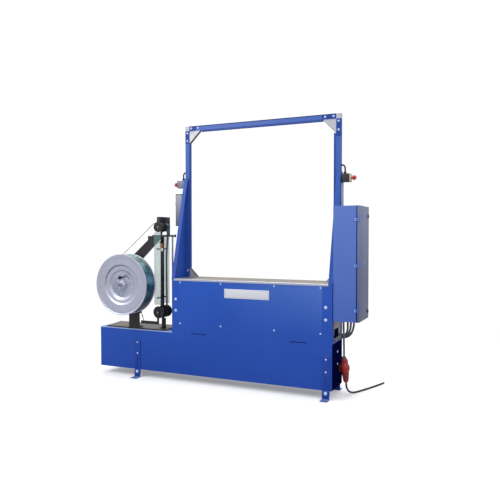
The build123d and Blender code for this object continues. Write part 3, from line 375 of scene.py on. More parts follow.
def clear_sheet(name, tint, alpha=0.55):
    """Thin clear plastic guide with a green cast, rub lines along its length."""
    t = Tree(name)
    lines = t.noise(1.0, 3.0, 0.6, vec=t.scaled(160, 160, 1.6))
    base = t.mix(t.remap(lines, 0.35, 0.7, 0.0, 0.6), tint,
                 tuple(min(1, c * 0.72) for c in tint[:3]) + (1.0,))
    smear = t.noise(9.0, 4.0, 0.6)
    base = t.mix(t.remap(smear, 0.5, 0.8, 0.0, 0.2), base, (0.50, 0.60, 0.58, 1))
    a = t.remap(lines, 0.3, 0.75, alpha - 0.06, alpha + 0.08)
    t.bump(lines, 0.08, 0.0004)
    m = t.done(base, 0.22, 0.0, Alpha=a, Coat_Weight=0.3)
    return m


SATIN = dict(rough=0.46, coat=0.0, spec=0.22)
SX, SZ = -886.0, 795.0
M = {
    "panel": paint("powder_blue_panel", lin(26, 68, 160), lin(36, 84, 182), 0.05, 0.86,
                   top=lin(120, 144, 196), side=lin(98, 132, 200), **SATIN),
    "frame": paint("powder_blue_frame", lin(28, 70, 160), lin(38, 84, 182), 0.05, 1.0,
                   top=lin(120, 144, 196), **SATIN),
    "arch": paint("powder_blue_arch", lin(50, 88, 176), lin(66, 100, 180), 0.9, 2.1, rough=0.36,
                  coat=0.0, spec=0.3, light=lin(76, 108, 188)),
    "guard": paint("powder_blue_guard", lin(30, 72, 166), lin(46, 86, 172), 0.85, 1.7, **SATIN),
    "cab": paint("powder_blue_cabinet", lin(70, 102, 180), lin(92, 122, 196), 0.55, 1.4,
                 light=lin(100, 128, 202), **SATIN),
    # painted reflection: the door's blue is greyed, and lighter higher up, for the glare of the bright
    # studio on its right-facing face
    "door": paint("door_blue_painted_glare", lin(80, 88, 128), lin(108, 118, 154), 0.55, 1.4,
                  rough=0.34, wear=0.25, spec=0.5, coat=0.0),
    # painted shade: the base's blue end cover is made a dark, matte navy for the little light that
    # reaches its right-facing side near the floor
    "navy": paint("end_cover_blue_painted_shade", lin(4, 8, 54), lin(6, 12, 66), 0.05, 0.5, wear=0.1,
                  rough=0.8, coat=0.0, spec=0.0, light=lin(6, 12, 60)),
    "legs": paint("powder_blue_legs", lin(20, 58, 146), lin(30, 70, 160), 0.0, 0.33,
                  top=lin(120, 144, 196), **SATIN),
    "guide": paint("blue_strap_guide", lin(30, 66, 156), lin(48, 82, 164), 0.9, 2.1, **SATIN),
    "hinge": paint("blue_hinge", lin(72, 106, 186), lin(94, 126, 200), 0.6, 1.4, wear=0.2, coat=0.0,
                   spec=0.2),
    "gap_blue": paint("gap_navy", lin(6, 20, 78), lin(10, 28, 92), 0.55, 1.4, rough=0.7,
                      coat=0.0, spec=0.05),
    # painted light: the rolled lips are the panel's own blue, made lighter where they catch the light
    "slot_lip": paint("slot_lip_blue_painted_light", lin(48, 92, 176), lin(60, 104, 190), 0.3, 0.5, **SATIN),
    "table": brushed("table_steel", lin(176, 168, 152), "X", 0.36, stripe=0.75, contrast=0.34,
                     metal=0.75),
    "lip": brushed("bright_lip", lin(206, 210, 228), "X", 0.26, contrast=0.12, metal=0.6,
                   dirt=0.06),
    "alu": brushed("corner_aluminium", lin(196, 197, 206), "Z", 0.42, contrast=0.22,
                   metal=0.2, dirt=0.16, stripe=0.5),
    "bolt": brushed("zinc_bolts", lin(206, 220, 250), "Z", 0.30, contrast=0.10, metal=0.15,
                    dirt=0.05),
    "duct": brushed("duct_aluminium", lin(178, 186, 206), "Z", 0.42, contrast=0.14, metal=0.15,
                    dirt=0.12),
    "steel": brushed("turned_steel", lin(168, 172, 180), "Y", 0.28, contrast=0.25),
    "rod": brushed("grey_rod", lin(150, 152, 158), "Z", 0.34, contrast=0.25, metal=0.8),
    "head": brushed("milled_head", lin(150, 152, 156), "Y", 0.36, contrast=0.3),
    "galv": spangle("galvanised_plate", lin(184, 182, 178)),
    "white": brushed("blank_plate", lin(226, 228, 236), "X", 0.36, contrast=0.06, metal=0.25,
                     dirt=0.04),
    "joint_blue": paint("powder_blue_joint", lin(22, 56, 142), lin(30, 66, 150), 0.9, 2.1, **SATIN),
    # painted highlight: pale blue for the lit fold along the base's top front edge
    "edge_highlight": paint("edge_highlight_blue", lin(140, 162, 208), lin(150, 172, 214), 0.3, 0.5,
                        wear=0.5, **SATIN),
    # painted shade: dark grey for the shaded diagonal edges of the corner plates
    "corner_edge_shade": plastic("corner_edge_shade_grey", lin(66, 66, 72), 0.5),
    "edge_grey": plastic("plate_border_grey", lin(128, 134, 150), 0.5),
    "black": worn_black("black_enamel", lin(16, 15, 19), lin(28, 26, 33), dust=0.10),
    # painted reflection with dust: the black deck plate is coloured brownish grey for the sheen on its
    # glossy top, lightest on the top face
    "deck": worn_black("deck_black_painted_sheen", lin(74, 66, 60), lin(96, 88, 80), rough=0.34, z0=0.40,
                       z1=0.42, dust=0.5),
    "rubber": plastic("black_rubber", lin(22, 22, 24), 0.6, 500.0, 0.2),
    "roller": plastic("roller_plastic", lin(30, 29, 33), 0.42, 700.0, 0.15),
    "box": plastic("switch_box_dark", lin(38, 34, 46), 0.5),
    "box_left": plastic("switch_box_grey", lin(128, 128, 148), 0.5),
    "lid_left": plastic("switch_lid_grey", lin(142, 142, 162), 0.5),
    "yellow": plastic("lid_cream", lin(214, 202, 172), 0.42),
    "red": plastic("stop_red", lin(178, 30, 26), 0.30, coat=0.3),
    "opbox": paint("light_grey_enclosure", lin(112, 112, 132), lin(158, 158, 174), 1.28, 1.55,
                   rough=0.44, wear=0.25, coat=0.0, spec=0.3),
    "knob_white": plastic("start_white", lin(214, 214, 210), 0.32, coat=0.3),
    "knob_dark": plastic("selector_dark", lin(14, 14, 18), 0.40),
    "conduit": plastic("conduit_grey", lin(104, 106, 118), 0.42, 600.0, 0.15),
    "cable_grey": plastic("cable_grey", lin(96, 98, 104), 0.5, 500.0, 0.18),
    "cee": plastic("connector_red", lin(160, 42, 38), 0.40, 600.0, 0.15, wear=0.3),
    "cee_dark": plastic("connector_dark_red", lin(78, 24, 24), 0.45, 600.0, 0.15),
    "gear": plastic("switchgear_grey", lin(170, 172, 172), 0.5),
    "motor": worn_black("motor_grey", lin(70, 74, 80), lin(90, 94, 100), dust=0.2),
    "copper": brushed("copper_part", lin(206, 118, 70), "Z", 0.3, contrast=0.25),
    "strap": plastic("strap_green", lin(40, 98, 100), 0.25, 1200.0, 0.08, coat=0.4),
    "clear": clear_sheet("clear_guide", lin(120, 164, 160), 0.33),
}
M["spun"] = spun("spun_flange", (SX * MM, 0, SZ * MM), lin(214, 217, 236))
M["coil"] = wound("wound_strap", (SX * MM, 0, SZ * MM), lin(10, 46, 62), lin(30, 112, 132),
                  lin(150, 206, 196))

# =====================================================================
# mesh building, in mm
# =====================================================================
def frame_axes(axis):
    """Unit vectors (u, v, w): w along the named axis."""
    sign = -1.0 if axis.startswith("-") else 1.0
    k = axis[-1]
    if k == "X":
        return Vector((0, sign, 0)), Vector((0, 0, 1)), Vector((sign, 0, 0))
    if k == "Y":
        return Vector((0, 0, sign)), Vector((1, 0, 0)), Vector((0, sign, 0))
    return Vector((sign, 0, 0)), Vector((0, 1, 0)), Vector((0, 0, sign))


def arc_fillet(points, radius, steps=4, closed=False):
    """Rounds the corners of a polyline of 2-D points."""
    out, n = [], len(points)
    for i, p in enumerate(points):
        if not closed and i in (0, n - 1):
            out.append(p)
            continue
        p = Vector(p)
        a, b = Vector(points[i - 1]) - p, Vector(points[(i + 1) % n]) - p
        la, lb = a.length, b.length
        if la < 1e-6 or lb < 1e-6:
            out.append(tuple(p))
            continue
        a, b = a / la, b / lb
        cosang = max(-1.0, min(1.0, a.dot(b)))
        ang = math.acos(cosang)
        if ang > math.radians(176):
            out.append(tuple(p))
            continue
        d = min(radius / math.tan(ang / 2), la * 0.45, lb * 0.45)
        p0, p1 = p + a * d, p + b * d
        for k in range(steps + 1):
            s = k / steps
            q = p0 * (1 - s) ** 2 + p * 2 * s * (1 - s) + p1 * s * s
            out.append(tuple(q))
    return out


class Parts:
    """Collects closed shells with a material index each, in mm."""

    def __init__(self):
        self.v, self.f, self.m = [], [], []

    def add(self, verts, faces, m=0):
        k = len(self.v)
        self.v += [tuple(p) for p in verts]
        self.f += [tuple(i + k for i in face) for face in faces]
        self.m += [m] * len(faces)

    def lathe(self, profile, origin, axis="Y", seg=64, m=0, closed=True, phase=0.0):
        """profile: (radius, height) pairs; a closed loop unless closed is False."""
        u, v, w = frame_axes(axis)
        o = Vector(origin)
        n = len(profile)
        verts = []
        for k in range(seg):
            a = 2 * math.pi * k / seg + phase
            d = u * math.cos(a) + v * math.sin(a)
            for r, h in profile:
                verts.append(o + d * r + w * h)
        faces = []
        for k in range(seg):
            k2 = (k + 1) % seg
            for i in range(n if closed else n - 1):
                j = (i + 1) % n
                if profile[i][0] < 1e-6 and profile[j][0] < 1e-6:
                    continue
                faces.append((k * n + i, k2 * n + i, k2 * n + j, k * n + j))
        self.add(verts, faces, m)

    def disc(self, origin, axis, r, h0, h1, seg=48, m=0, edge=1.0, steps=3):
        """Solid disc or pin with rounded rims."""
        e = min(edge, r * 0.45, abs(h1 - h0) * 0.45)
        pts = [(0, h0), (r, h0), (r, h1), (0, h1)]
        self.lathe(arc_fillet(pts, e, steps), origin, axis, seg, m, closed=False)

    def ring(self, origin, axis, r0, r1, h0, h1, seg=64, m=0, edge=0.8):
        pts = [(r0, h0), (r1, h0), (r1, h1), (r0, h1)]
        self.lathe(arc_fillet(pts, edge, 2, closed=True), origin, axis, seg, m)

    def hexa(self, origin, axis, flats, h0, h1, m=0, phase=0.0):
        """Hexagon head or nut with a turned chamfer."""
        r = flats / math.sqrt(3)
        c = (h1 - h0) * 0.18
        self.lathe([(0, h0), (r, h0), (r, h1 - c), (r * 0.86, h1), (0, h1)],
                   origin, axis, 6, m, closed=False, phase=phase)

    def box(self, x0, x1, y0, y1, z0, z1, r=1.0, steps=2, m=0):
        bm = bmesh.new()
        bmesh.ops.create_cube(bm, size=1.0)
        for p in bm.verts:
            p.co = Vector(((x0 + x1) / 2 + p.co.x * (x1 - x0),
                           (y0 + y1) / 2 + p.co.y * (y1 - y0),
                           (z0 + z1) / 2 + p.co.z * (z1 - z0)))
        r = min(r, abs(x1 - x0) * 0.45, abs(y1 - y0) * 0.45, abs(z1 - z0) * 0.45)
        if r > 0:
            bmesh.ops.bevel(bm, geom=list(bm.edges), offset=r, segments=steps,
                            affect="EDGES", profile=0.5)
        self.from_bm(bm, m)

    def from_bm(self, bm, m=0):
        bm.verts.ensure_lookup_table()
        bm.verts.index_update()
        self.add([p.co.copy() for p in bm.verts],
                 [tuple(q.index for q in f.verts) for f in bm.faces], m)
        bm.free()

    def prism(self, points, plane, a0, a1, r=0.8, steps=2, m=0):
        """Outline in XZ or YZ, extruded from a0 to a1 along the third axis, edges rounded."""
        bm = bmesh.new()
        def at(p, a):
            return (p[0], a, p[1]) if plane == "XZ" else (
                (a, p[0], p[1]) if plane == "YZ" else (p[0], p[1], a))
        lo = [bm.verts.new(at(p, a0)) for p in points]
        hi = [bm.verts.new(at(p, a1)) for p in points]
        bm.faces.new(lo)
        bm.faces.new(list(reversed(hi)))
        n = len(points)
        for i in range(n):
            j = (i + 1) % n
            bm.faces.new((lo[j], lo[i], hi[i], hi[j]))
        bmesh.ops.recalc_face_normals(bm, faces=list(bm.faces))
        if r > 0:
            r = min(r, abs(a1 - a0) * 0.45)
            edges = [e for e in bm.edges if e.calc_face_angle(0) > 0.6]
            bmesh.ops.bevel(bm, geom=edges, offset=r, segments=steps, affect="EDGES",
                            profile=0.5)
        self.from_bm(bm, m)

    def tube(self, points, radius, seg=16, m=0, samples=12, wave=None):
        """Round tube along a smooth curve through the points; wave=(pitch, depth) corrugates it."""
        path = smooth_path(points, samples)
        if wave:
            path = resample(path, wave[0] / 4.0)
        n = len(path)
        tangents = []
        for i in range(n):
            a, b = path[max(0, i - 1)], path[min(n - 1, i + 1)]
            tangents.append((b - a).normalized())
        ref = Vector((0, 1, 0)) if abs(tangents[0].y) < 0.9 else Vector((1, 0, 0))
        u = (ref - tangents[0] * ref.dot(tangents[0])).normalized()
        verts, dist = [], 0.0
        for i in range(n):
            t = tangents[i]
            u = (u - t * u.dot(t)).normalized()
            w = t.cross(u)
            if i:
                dist += (path[i] - path[i - 1]).length
            r = radius(dist) if callable(radius) else radius
            if wave:
                r += wave[1] * (0.5 if i % 4 in (0, 1) else -0.5)
            for k in range(seg):
                a = 2 * math.pi * k / seg
                verts.append(path[i] + (u * math.cos(a) + w * math.sin(a)) * r)
        faces = []
        for i in range(n - 1):
            for k in range(seg):
                k2 = (k + 1) % seg
                faces.append((i * seg + k, i * seg + k2, (i + 1) * seg + k2, (i + 1) * seg + k))
        c0, c1 = len(verts), len(verts) + 1
        verts += [path[0], path[-1]]
        for k in range(seg):
            k2 = (k + 1) % seg
            faces.append((c0, k2, k))
            faces.append((c1, (n - 1) * seg + k, (n - 1) * seg + k2))
        self.add(verts, faces, m)

    def ribbon(self, points, y0, y1, thick, m=0):
        """Flat strap in the XZ plane, y0 to y1 wide: points are (x, z)."""
        n = len(points)
        verts = []
        for i, p in enumerate(points):
            a, b = Vector(points[max(0, i - 1)]), Vector(points[min(n - 1, i + 1)])
            t = (b - a).normalized()
            nx, nz = -t.y * thick / 2, t.x * thick / 2
            for y in (y0, y1):
                verts.append((p[0] + nx, y, p[1] + nz))
            for y in (y1, y0):
                verts.append((p[0] - nx, y, p[1] - nz))
        faces = []
        for i in range(n - 1):
            for k in range(4):
                k2 = (k + 1) % 4
                faces.append((i * 4 + k, i * 4 + k2, (i + 1) * 4 + k2, (i + 1) * 4 + k))
        faces.append((3, 2, 1, 0))
        e = (n - 1) * 4
        faces.append((e, e + 1, e + 2, e + 3))
        self.add(verts, faces, m)

    def build(self, name, mats, body, slot, stands_for=(), smooth=38.0):
        me = bpy.data.meshes.new(name)
        me.from_pydata([(x * MM, y * MM, z * MM) for x, y, z in self.v], [], self.f)
        for mat in mats:
            me.materials.append(mat)
        me.polygons.foreach_set("material_index", self.m)
        bm = bmesh.new()
        bm.from_mesh(me)
        bmesh.ops.remove_doubles(bm, verts=bm.verts, dist=2e-6)
        bmesh.ops.dissolve_degenerate(bm, edges=bm.edges, dist=1e-7)
        bmesh.ops.recalc_face_normals(bm, faces=bm.faces)
        bm.to_mesh(me)
        bm.free()
        me.shade_smooth()
        me.set_sharp_from_angle(angle=math.radians(smooth))
        o = bpy.data.objects.new(name, me)
        bpy.context.scene.collection.objects.link(o)
        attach(o, body)
        if stands_for:
            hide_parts(*stands_for)
        return o


def smooth_path(points, samples=12):
    """Catmull-Rom through the points."""
    p = [Vector(q) for q in points]
    p = [p[0] * 2 - p[1]] + p + [p[-1] * 2 - p[-2]]
    out = []
    for i in range(1, len(p) - 2):
        for k in range(samples):
            t = k / samples
            a, b, c, d = p[i - 1], p[i], p[i + 1], p[i + 2]
            out.append(0.5 * ((2 * b) + (c - a) * t + (2 * a - 5 * b + 4 * c - d) * t * t
                              + (3 * b - a - 3 * c + d) * t ** 3))
    out.append(p[-2])
    return out


def resample(path, step):
    out, carry = [path[0]], 0.0
    for a, b in zip(path, path[1:]):
        seg = (b - a).length
        d = step - carry
        while d <= seg:
            out.append(a + (b - a) * (d / seg))
            d += step
        carry = seg - (d - step)
    out.append(path[-1])
    return out


# =====================================================================
# CAD nodes that keep their own mesh: softened edges and real finishes
# =====================================================================
KEEP = {
    "base_frame": ("frame", 0.8), "lower_front_panel": ("panel", 0.9),
    "upper_front_panel": ("panel", 0.9), "rear_panels": ("panel", 0.9),
    "base_end_cover": ("navy", 0.9), "legs": ("legs", 0.9), "feet": ("legs", 0.9),
    "body_frame": ("frame", 0.0), "side_plate_right": ("galv", 0.6),
    "table_plates": ("table", 0.8), "arch_columns": ("arch", 1.2),
    "arch_beam": ("arch", 1.2), "arch_corner_plates": ("alu", 0.8),
    "arch_strap_guides": ("guide", 0.6), "guard_left": ("guard", 0.8),
    "guard_right": ("guard", 0.8), "cabinet_body": ("cab", 0.9),
    "dispenser_plate": ("deck", 0.8), "dispenser_post": ("black", 1.2),
    "magazine_post": ("black", 0.8), "brake_lever": ("black", 1.0),
    "switchgear": ("gear", 0.8), "head_frame": ("head", 0.8),
    "cam_shaft": ("steel", 0.6), "press_block": ("steel", 0.8),
    "spool_axle": ("steel", 0.8),
}
for node, (key, width) in KEEP.items():
    o = N[node]
    o.data.materials.clear()
    o.data.materials.append(M[key])
    if width > 0:
        w = o.modifiers.new("weld", "WELD")
        w.merge_threshold = 0.00002
        d = o.modifiers.new("flat_faces", "DECIMATE")
        d.decimate_type = "DISSOLVE"
        d.angle_limit = math.radians(0.6)
        b = o.modifiers.new("edge_round", "BEVEL")
        b.width = width * MM
        b.segments = 2
        b.limit_method = "ANGLE"
        b.angle_limit = math.radians(50)
        b.use_clamp_overlap = True
        wn = o.modifiers.new("face_normals", "WEIGHTED_NORMAL")
        wn.keep_sharp = False
        wn.weight = 80

# =====================================================================
# fasteners
# =====================================================================
POST_BOLTS = [(-451.5, 680.0), (-451.5, 588.0), (825.5, 677.0), (825.5, 585.0)]
PANEL_SCREWS = [(x, z) for x in (-410.0, -38.0, 419.0, 786.0) for z in (819.0, 482.0)]
LEG_SMALL = [(s * 829.0, z) for s in (-1, 1) for z in (203.0, 296.0)]
LEG_BIG = [(s * 829.0, 48.0) for s in (-1, 1)]
ARCH_BOLTS = [
    (-431.0, 2111.0), (-367.0, 2111.0), (748.0, 2111.0), (814.0, 2111.0),
    (-469.0, 2072.0), (-469.0, 2007.0), (854.0, 2072.0), (854.0, 2007.0),
    (-469.0, 904.0), (854.0, 904.0),
]
# painted shade: a dark strip on the diagonal edge of each corner plate, for its shaded edge face
p = Parts()
for ex, ez, sx, sz, leg in ((-450.0, 2092.0, 1, -1, 108.0), (835.0, 2092.0, -1, -1, 108.0),
                            (-450.0, 850.0, 1, 1, 76.0), (835.0, 850.0, -1, 1, 76.0)):
    n = math.sqrt(0.5)
    a, b = (ex + sx * (leg - 2), ez + sz * 0.6), (ex + sx * 0.6, ez + sz * (leg - 2))
    c = (b[0] + sx * 2.6 * n, b[1] + sz * 2.6 * n)
    d = (a[0] + sx * 2.6 * n, a[1] + sz * 2.6 * n)
    p.prism([a, b, c, d], "XZ", 88.4, 113.6, 0.4, 1)
p.build("corner_plate_edges", [M["corner_edge_shade"]], "machine", "corner_alu")
# joint plates let into the profile ends, and a dark strip along the top of the beam
p = Parts()
for xa, xb, za, zb in ((-489.0, -451.0, 1986.0, 2091.0), (-449.0, -384.0, 2093.0, 2123.0),
                       (722.0, 834.0, 2093.0, 2123.0), (836.5, 875.5, 1958.0, 2091.0)):
    p.box(xa, xb, 84.1, 85.3, za, zb, 0.4, 1)
p.build("arch_joint_plates", [M["joint_blue"]], "machine", "blue_sheet")
p = Parts()
p.box(-449.0, 834.0, 84.0, 87.0, 2124.5, 2130.3, 0.6, 1)
p.build("arch_beam_top_dark_strip", [M["gap_blue"]], "machine", "blue_dark")
# painted highlight: a light strip along the base's top front fold, where it catches the bright overhead;
# and the black edge of the dispenser plate
p = Parts()
p.box(-1219.0, -488.4, -140.6, -128.0, 400.4, 407.5, 1.4, 2)
p.build("base_top_edge_highlight", [M["edge_highlight"]], "machine", "blue_sheet")
p = Parts()
p.box(-1158.5, -574.6, -125.4, -121.0, 407.6, 417.5, 0.7, 2)
p.prism([(-1158.5, -125.4), (-1154.0, -125.4), (-1204.0, 136.2), (-1208.6, 136.2)], "XY",
        407.6, 417.5, 0.6, 1)
p.build("dispenser_plate_edge", [M["black"]], "machine", "deck_black")

random.seed(7)
p = Parts()
def bolt(p, x, z, face, axis, washer, head, height, dome=False):
    """Washer, head and shank end on a face at Y=face."""
    o = (x, face, z)
    p.ring(o, axis, head * 0.30, washer, 0.0, 1.6, 36)
    if dome:
        prof = [(0, 1.2), (head, 1.2), (head, 2.4), (head * 0.92, height * 0.62),
                (head * 0.68, height * 0.90), (head * 0.42, height), (head * 0.36, height - 2.2),
                (0, height - 2.2)]
        p.lathe(prof, o, axis, 32, closed=False)
    else:
        p.hexa(o, axis, head * 1.75, 1.2, height, phase=random.random())
for s, ax in ((-1, "-Y"), (1, "Y")):
    for x, z in POST_BOLTS:
        bolt(p, x, z, s * 140, ax, 12.0, 9.8, 6.0, dome=True)
    for x, z in LEG_SMALL:
        bolt(p, x, z, s * 145, ax, 7.0, 5.6, 4.2, dome=True)
    for x, z in LEG_BIG:
        bolt(p, x, z, s * 151, ax, 13.5, 11.0, 7.0)
for x, z in ARCH_BOLTS:
    bolt(p, x, z, 85.0, "-Y", 8.6, 7.2, 4.2, dome=True)
    p.hexa((x, 117.0, z), "Y", 13, 0.0, 6.0)
for z in (238.0, 332.0):
    p.ring((873, 9, z), "X", 3, 10, 0, 1.4, 32)
    p.hexa((873, 9, z), "X", 14, 1.0, 4.0)
p.build("frame_bolt_heads", [M["bolt"]], "machine", "bolt_steel", ["frame_bolts"])

p = Parts()
for s, ax in ((-1, "-Y"), (1, "Y")):
    for x, z in PANEL_SCREWS:
        p.lathe([(0, 0), (6.8, 0), (6.8, 0.7), (5.9, 1.9), (3.6, 2.6), (2.4, 2.6), (2.2, 1.1),
                 (0, 1.1)], (x, s * 140, z), ax, 28, closed=False)
p.build("panel_screw_heads", [M["bolt"]], "machine", "bolt_steel", ["panel_screws"])

# =====================================================================
# nameplate: blank plate with a border line, four rivets
# =====================================================================
x0, x1, y0, y1, z0, z1 = B("nameplate")
p = Parts()
p.box(x0, x1, y0, y1, z0, z1, 1.0)
for a, b, c, d in ((x0 + 8, x1 - 8, z0 + 7, z0 + 8.4), (x0 + 8, x1 - 8, z1 - 8.4, z1 - 7),
                   (x0 + 8, x0 + 9.4, z0 + 7, z1 - 7), (x1 - 9.4, x1 - 8, z0 + 7, z1 - 7)):
    p.box(a, b, y0 - 0.35, y0 + 0.4, c, d, 0.2, 1, m=1)
for x in (x0 + 4.5, x1 - 4.5):
    for z in (z0 + 4.5, z1 - 4.5):
        p.lathe([(0, 0), (2.6, 0), (2.0, 0.9), (0, 1.2)], (x, y0, z), "-Y", 20, 2, closed=False)
p.build("blank_nameplate", [M["white"], M["edge_grey"], M["bolt"]], "machine", "plate_white",
        ["nameplate"])

# bright lip along the table's front edge: folded strip with a rounded nose
x0, x1, y0, y1, z0, z1 = B("table_lip")
p = Parts()
sec = arc_fillet([(y1, z0), (y0 + 0.6, z0), (y0, z0 + 1.5), (y0, z1 - 2.5), (y0 + 2.5, z1 - 0.05),
                  (y1, z1 - 0.05)], 1.2, 4, closed=True)
p.prism(sec, "YZ", x0, x1, 0.0)
p.build("table_front_lip", [M["lip"]], "machine", "lip_steel", ["table_lip"])

# grip slots in the lower cover: rolled lips behind the openings
p = Parts()
for cx in (-235.0, 613.0):
    for s, z in ((1, 405.0 + 4.0), (-1, 405.0 - 4.0)):
        sec = arc_fillet([(-139.6, z - s * 0.2), (-127.0, z - s * 0.2), (-127.0, z + s * 2.0),
                          (-136.8, z + s * 2.0)], 0.6, 2, closed=True)
        p.prism(sec, "YZ", cx - 62, cx + 62, 0.0)
p.build("grip_slot_lips", [M["slot_lip"]], "machine", "blue_sheet")

# =====================================================================
# emergency stops
# =====================================================================
YC, ZC = 101.0, 1640.0
pb, pl, pw = Parts(), Parts(), Parts()
for s, face, ax in ((-1, -491.0, "-X"), (1, 876.0, "X")):
    a, b = face, face + s * 66
    xa, xb = min(a, b), max(a, b)
    side_m = 0 if s > 0 else 1
    pb.box(xa, xb - 0 if s < 0 else xb - 0.4, YC - 31, YC + 31, ZC - 31, ZC + 31, 4.0, 3, m=side_m)
    pb.box(min(face, face + s * 3), max(face, face + s * 3), YC - 36, YC + 36, ZC - 14, ZC + 14, 1.0,
           m=side_m)
    # dark seal between box and lid
    pb.box(min(b - s * 1.2, b + s * 0.4), max(b - s * 1.2, b + s * 0.4), YC - 31.4, YC + 31.4,
           ZC - 31.4, ZC + 31.4, 0.5, 2, m=2)
    for dy in (-24, 24):
        for dz in (-24, 24):
            pb.disc((face + s * 48, YC + dy, ZC + dz), ax, 5.5, -2, 11.5, 20, m=side_m, edge=1.0)
    c, d = b, b + s * 6
    xa, xb = min(c, d), max(c, d)
    lid_m = 0 if s > 0 else 2
    pl.box(xa, xb, YC - 31, YC + 31, ZC - 31, ZC + 31, 2.4, 3, m=lid_m)
    pl.ring((d, YC, ZC), ax, 8.4, 15.5, -0.5, 3.6, 48, m=lid_m, edge=1.0)
    pl.ring((d, YC, ZC), ax, 15.8, 20.5, -0.4, 1.6, 48, m=lid_m, edge=0.6)
    for dy in (-24, 24):
        for dz in (-24, 24):
            pl.lathe([(0, -0.6), (3.8, -0.6), (3.8, 0.6), (3.0, 1.2), (1.4, 1.2), (1.3, 0.3), (0, 0.3)],
                     (d, YC + dy, ZC + dz), ax, 20, 1, closed=False)
    # cable: gland, nut and loop back into the column
    xg = face + s * 26
    if s < 0:
        for dz in (-31.2, 28.2):
            pb.box(xa + 1, xb, YC - 31.2, YC + 31.2, ZC + dz, ZC + dz + 3.0, 0.8, 2, m=2)
    pw.hexa((xg, YC, ZC + 31), "Z", 22, 0.0, 6.0)
    pw.disc((xg, YC, ZC + 31), "Z", 10.6, 5.5, 16.5, 28, edge=2.0)
    pw.tube([(xg, YC, ZC + 42), (xg, YC, ZC + 68), (xg - s * 2, YC, ZC + 84),
             (xg - s * 11, YC - 1, ZC + 96), (face - s * 1.5, YC - 2, ZC + 100)], 6.2, 16, 0, 10)
    pw.disc((face - s * 3, YC - 2, ZC + 100), ax, 9.0, 0.0, 4.0, 24, edge=1.2)
pb.build("stop_boxes", [M["box"], M["box_left"], M["rubber"]], "machine", "box_dark", ["estop_boxes"])
pl.build("stop_lids", [M["yellow"], M["bolt"], M["lid_left"]], "machine", "lid_yellow", ["estop_lids"])
# duct on the right column: snap-on trunking with a lid
x0, x1, y0, y1, z0, z1 = 876.0, 882.0, 92.0, 137.0, 1419.5, 1608.5
pw.box(x0, x1 - 2, y0, y1, z0, z1, 0.8, m=1)
pw.box(x0 - 13, x1, 83.2, 85.4, z0, z1, 0.6, m=1)
pw.box(x1 - 2.4, x1, 83.4, y0 + 0.6, z0, z1, 0.6, m=1)
pw.box(x1 - 3, x1, y0 + 0.4, y1 - 0.4, z0 + 0.5, z1 - 0.5, 0.9, m=1)
pw.build("stop_wiring", [M["rubber"], M["duct"]], "machine", "cable_black", ["estop_wiring"])
for side, s, ax in (("left", -1, "-X"), ("right", 1, "X")):
    node = f"estop_button_{side}"
    x0, x1, y0, y1, z0, z1 = B(node)
    d = (-491.0 - 72) if s < 0 else (876.0 + 72)
    p = Parts()
    prof = [(0, -29), (8.0, -29), (8.0, 9.5), (10.5, 11.5), (15.5, 13.0), (17.0, 15.0),
            (17.0, 27.0), (16.6, 30.5), (15.2, 34.4), (12.6, 37.6), (8.0, 39.3), (3.0, 39.9),
            (0, 40.0)]
    p.lathe(prof, (d, YC, ZC), ax, 56, closed=False)
    for k in range(18):
        a = 2 * math.pi * k / 18
        p.box(min(d + s * 15.5, d + s * 23), max(d + s * 15.5, d + s * 23),
              YC + 16.9 * math.cos(a) - 0.7, YC + 16.9 * math.cos(a) + 0.7,
              ZC + 16.9 * math.sin(a) - 0.7, ZC + 16.9 * math.sin(a) + 0.7, 0.3, 1)
    p.build(f"stop_button_{side}", [M["red"]], "stop_" + side, "stop_red", [node])

# =====================================================================
# operator box on the left column
# =====================================================================
p = Parts()
p.box(-547, -491, 25, 105, 1284, 1553, 3.0, 3)
p.box(-551, -547.4, 25, 105, 1284, 1553, 1.8, 3)
p.box(-547.6, -546.8, 27, 103, 1286, 1551, 0.2, 1, m=1)
p.hexa((-520, 45, 1284), "-Z", 18, 0, 7, m=1)
p.disc((-520, 45, 1284), "-Z", 8.2, 6, 18.5, 24, m=1, edge=2)
p.box(-551.4, -490.8, 24.6, 105.4, 1546, 1553.6, 1.2, 2, m=1)
for z in (1473.0, 1390.0):
    p.ring((-551, 62, z), "-X", 8.4, 17.0, -0.3, 2.6, 48, m=1, edge=0.8)
    p.box(-551.6, -550.8, 44, 80, z + 21, z + 33, 0.3, 1, m=2)
for y in (31, 99):
    for z in (1291, 1546):
        p.lathe([(0, 0), (3.2, 0), (2.6, 1.2), (0, 1.5)], (-551, y, z), "-X", 20, 3, closed=False)
p.build("operator_box", [M["opbox"], M["knob_dark"], M["white"], M["bolt"]], "machine", "box_grey",
        ["control_box"])
p = Parts()
p.lathe([(0, 22), (8.0, 22), (8.0, -12), (13.2, -12.5), (14.0, -13.5), (14.0, -22),
         (13.0, -25.2), (9.0, -26), (0, -26)][::-1], (-547, 62, 1473), "X", 48, closed=False)
p.build("start_cap", [M["knob_white"]], "start", "button_white", ["start_button"])
p = Parts()
p.disc((-547, 62, 1390), "-X", 8.0, -21.5, 8, 40, edge=0.5)
p.disc((-547, 62, 1390), "-X", 14.0, 5.2, 10, 48, edge=1.0)
p.box(-569, -556, 58.5, 65.5, 1377, 1403, 2.2, 3)
p.box(-569.3, -566, 61.4, 62.6, 1392, 1402, 0.3, 1, m=1)
p.build("selector_knob", [M["knob_dark"], M["white"]], "selector", "button_dark",
        ["mode_selector"])

# =====================================================================
# control cabinet: door, hinges, locks
# =====================================================================
x0, x1, y0, y1, z0, z1 = 1054.0, 1069.0, -130.0, 170.0, 579.0, 1419.0
p = Parts()
t = 2.0
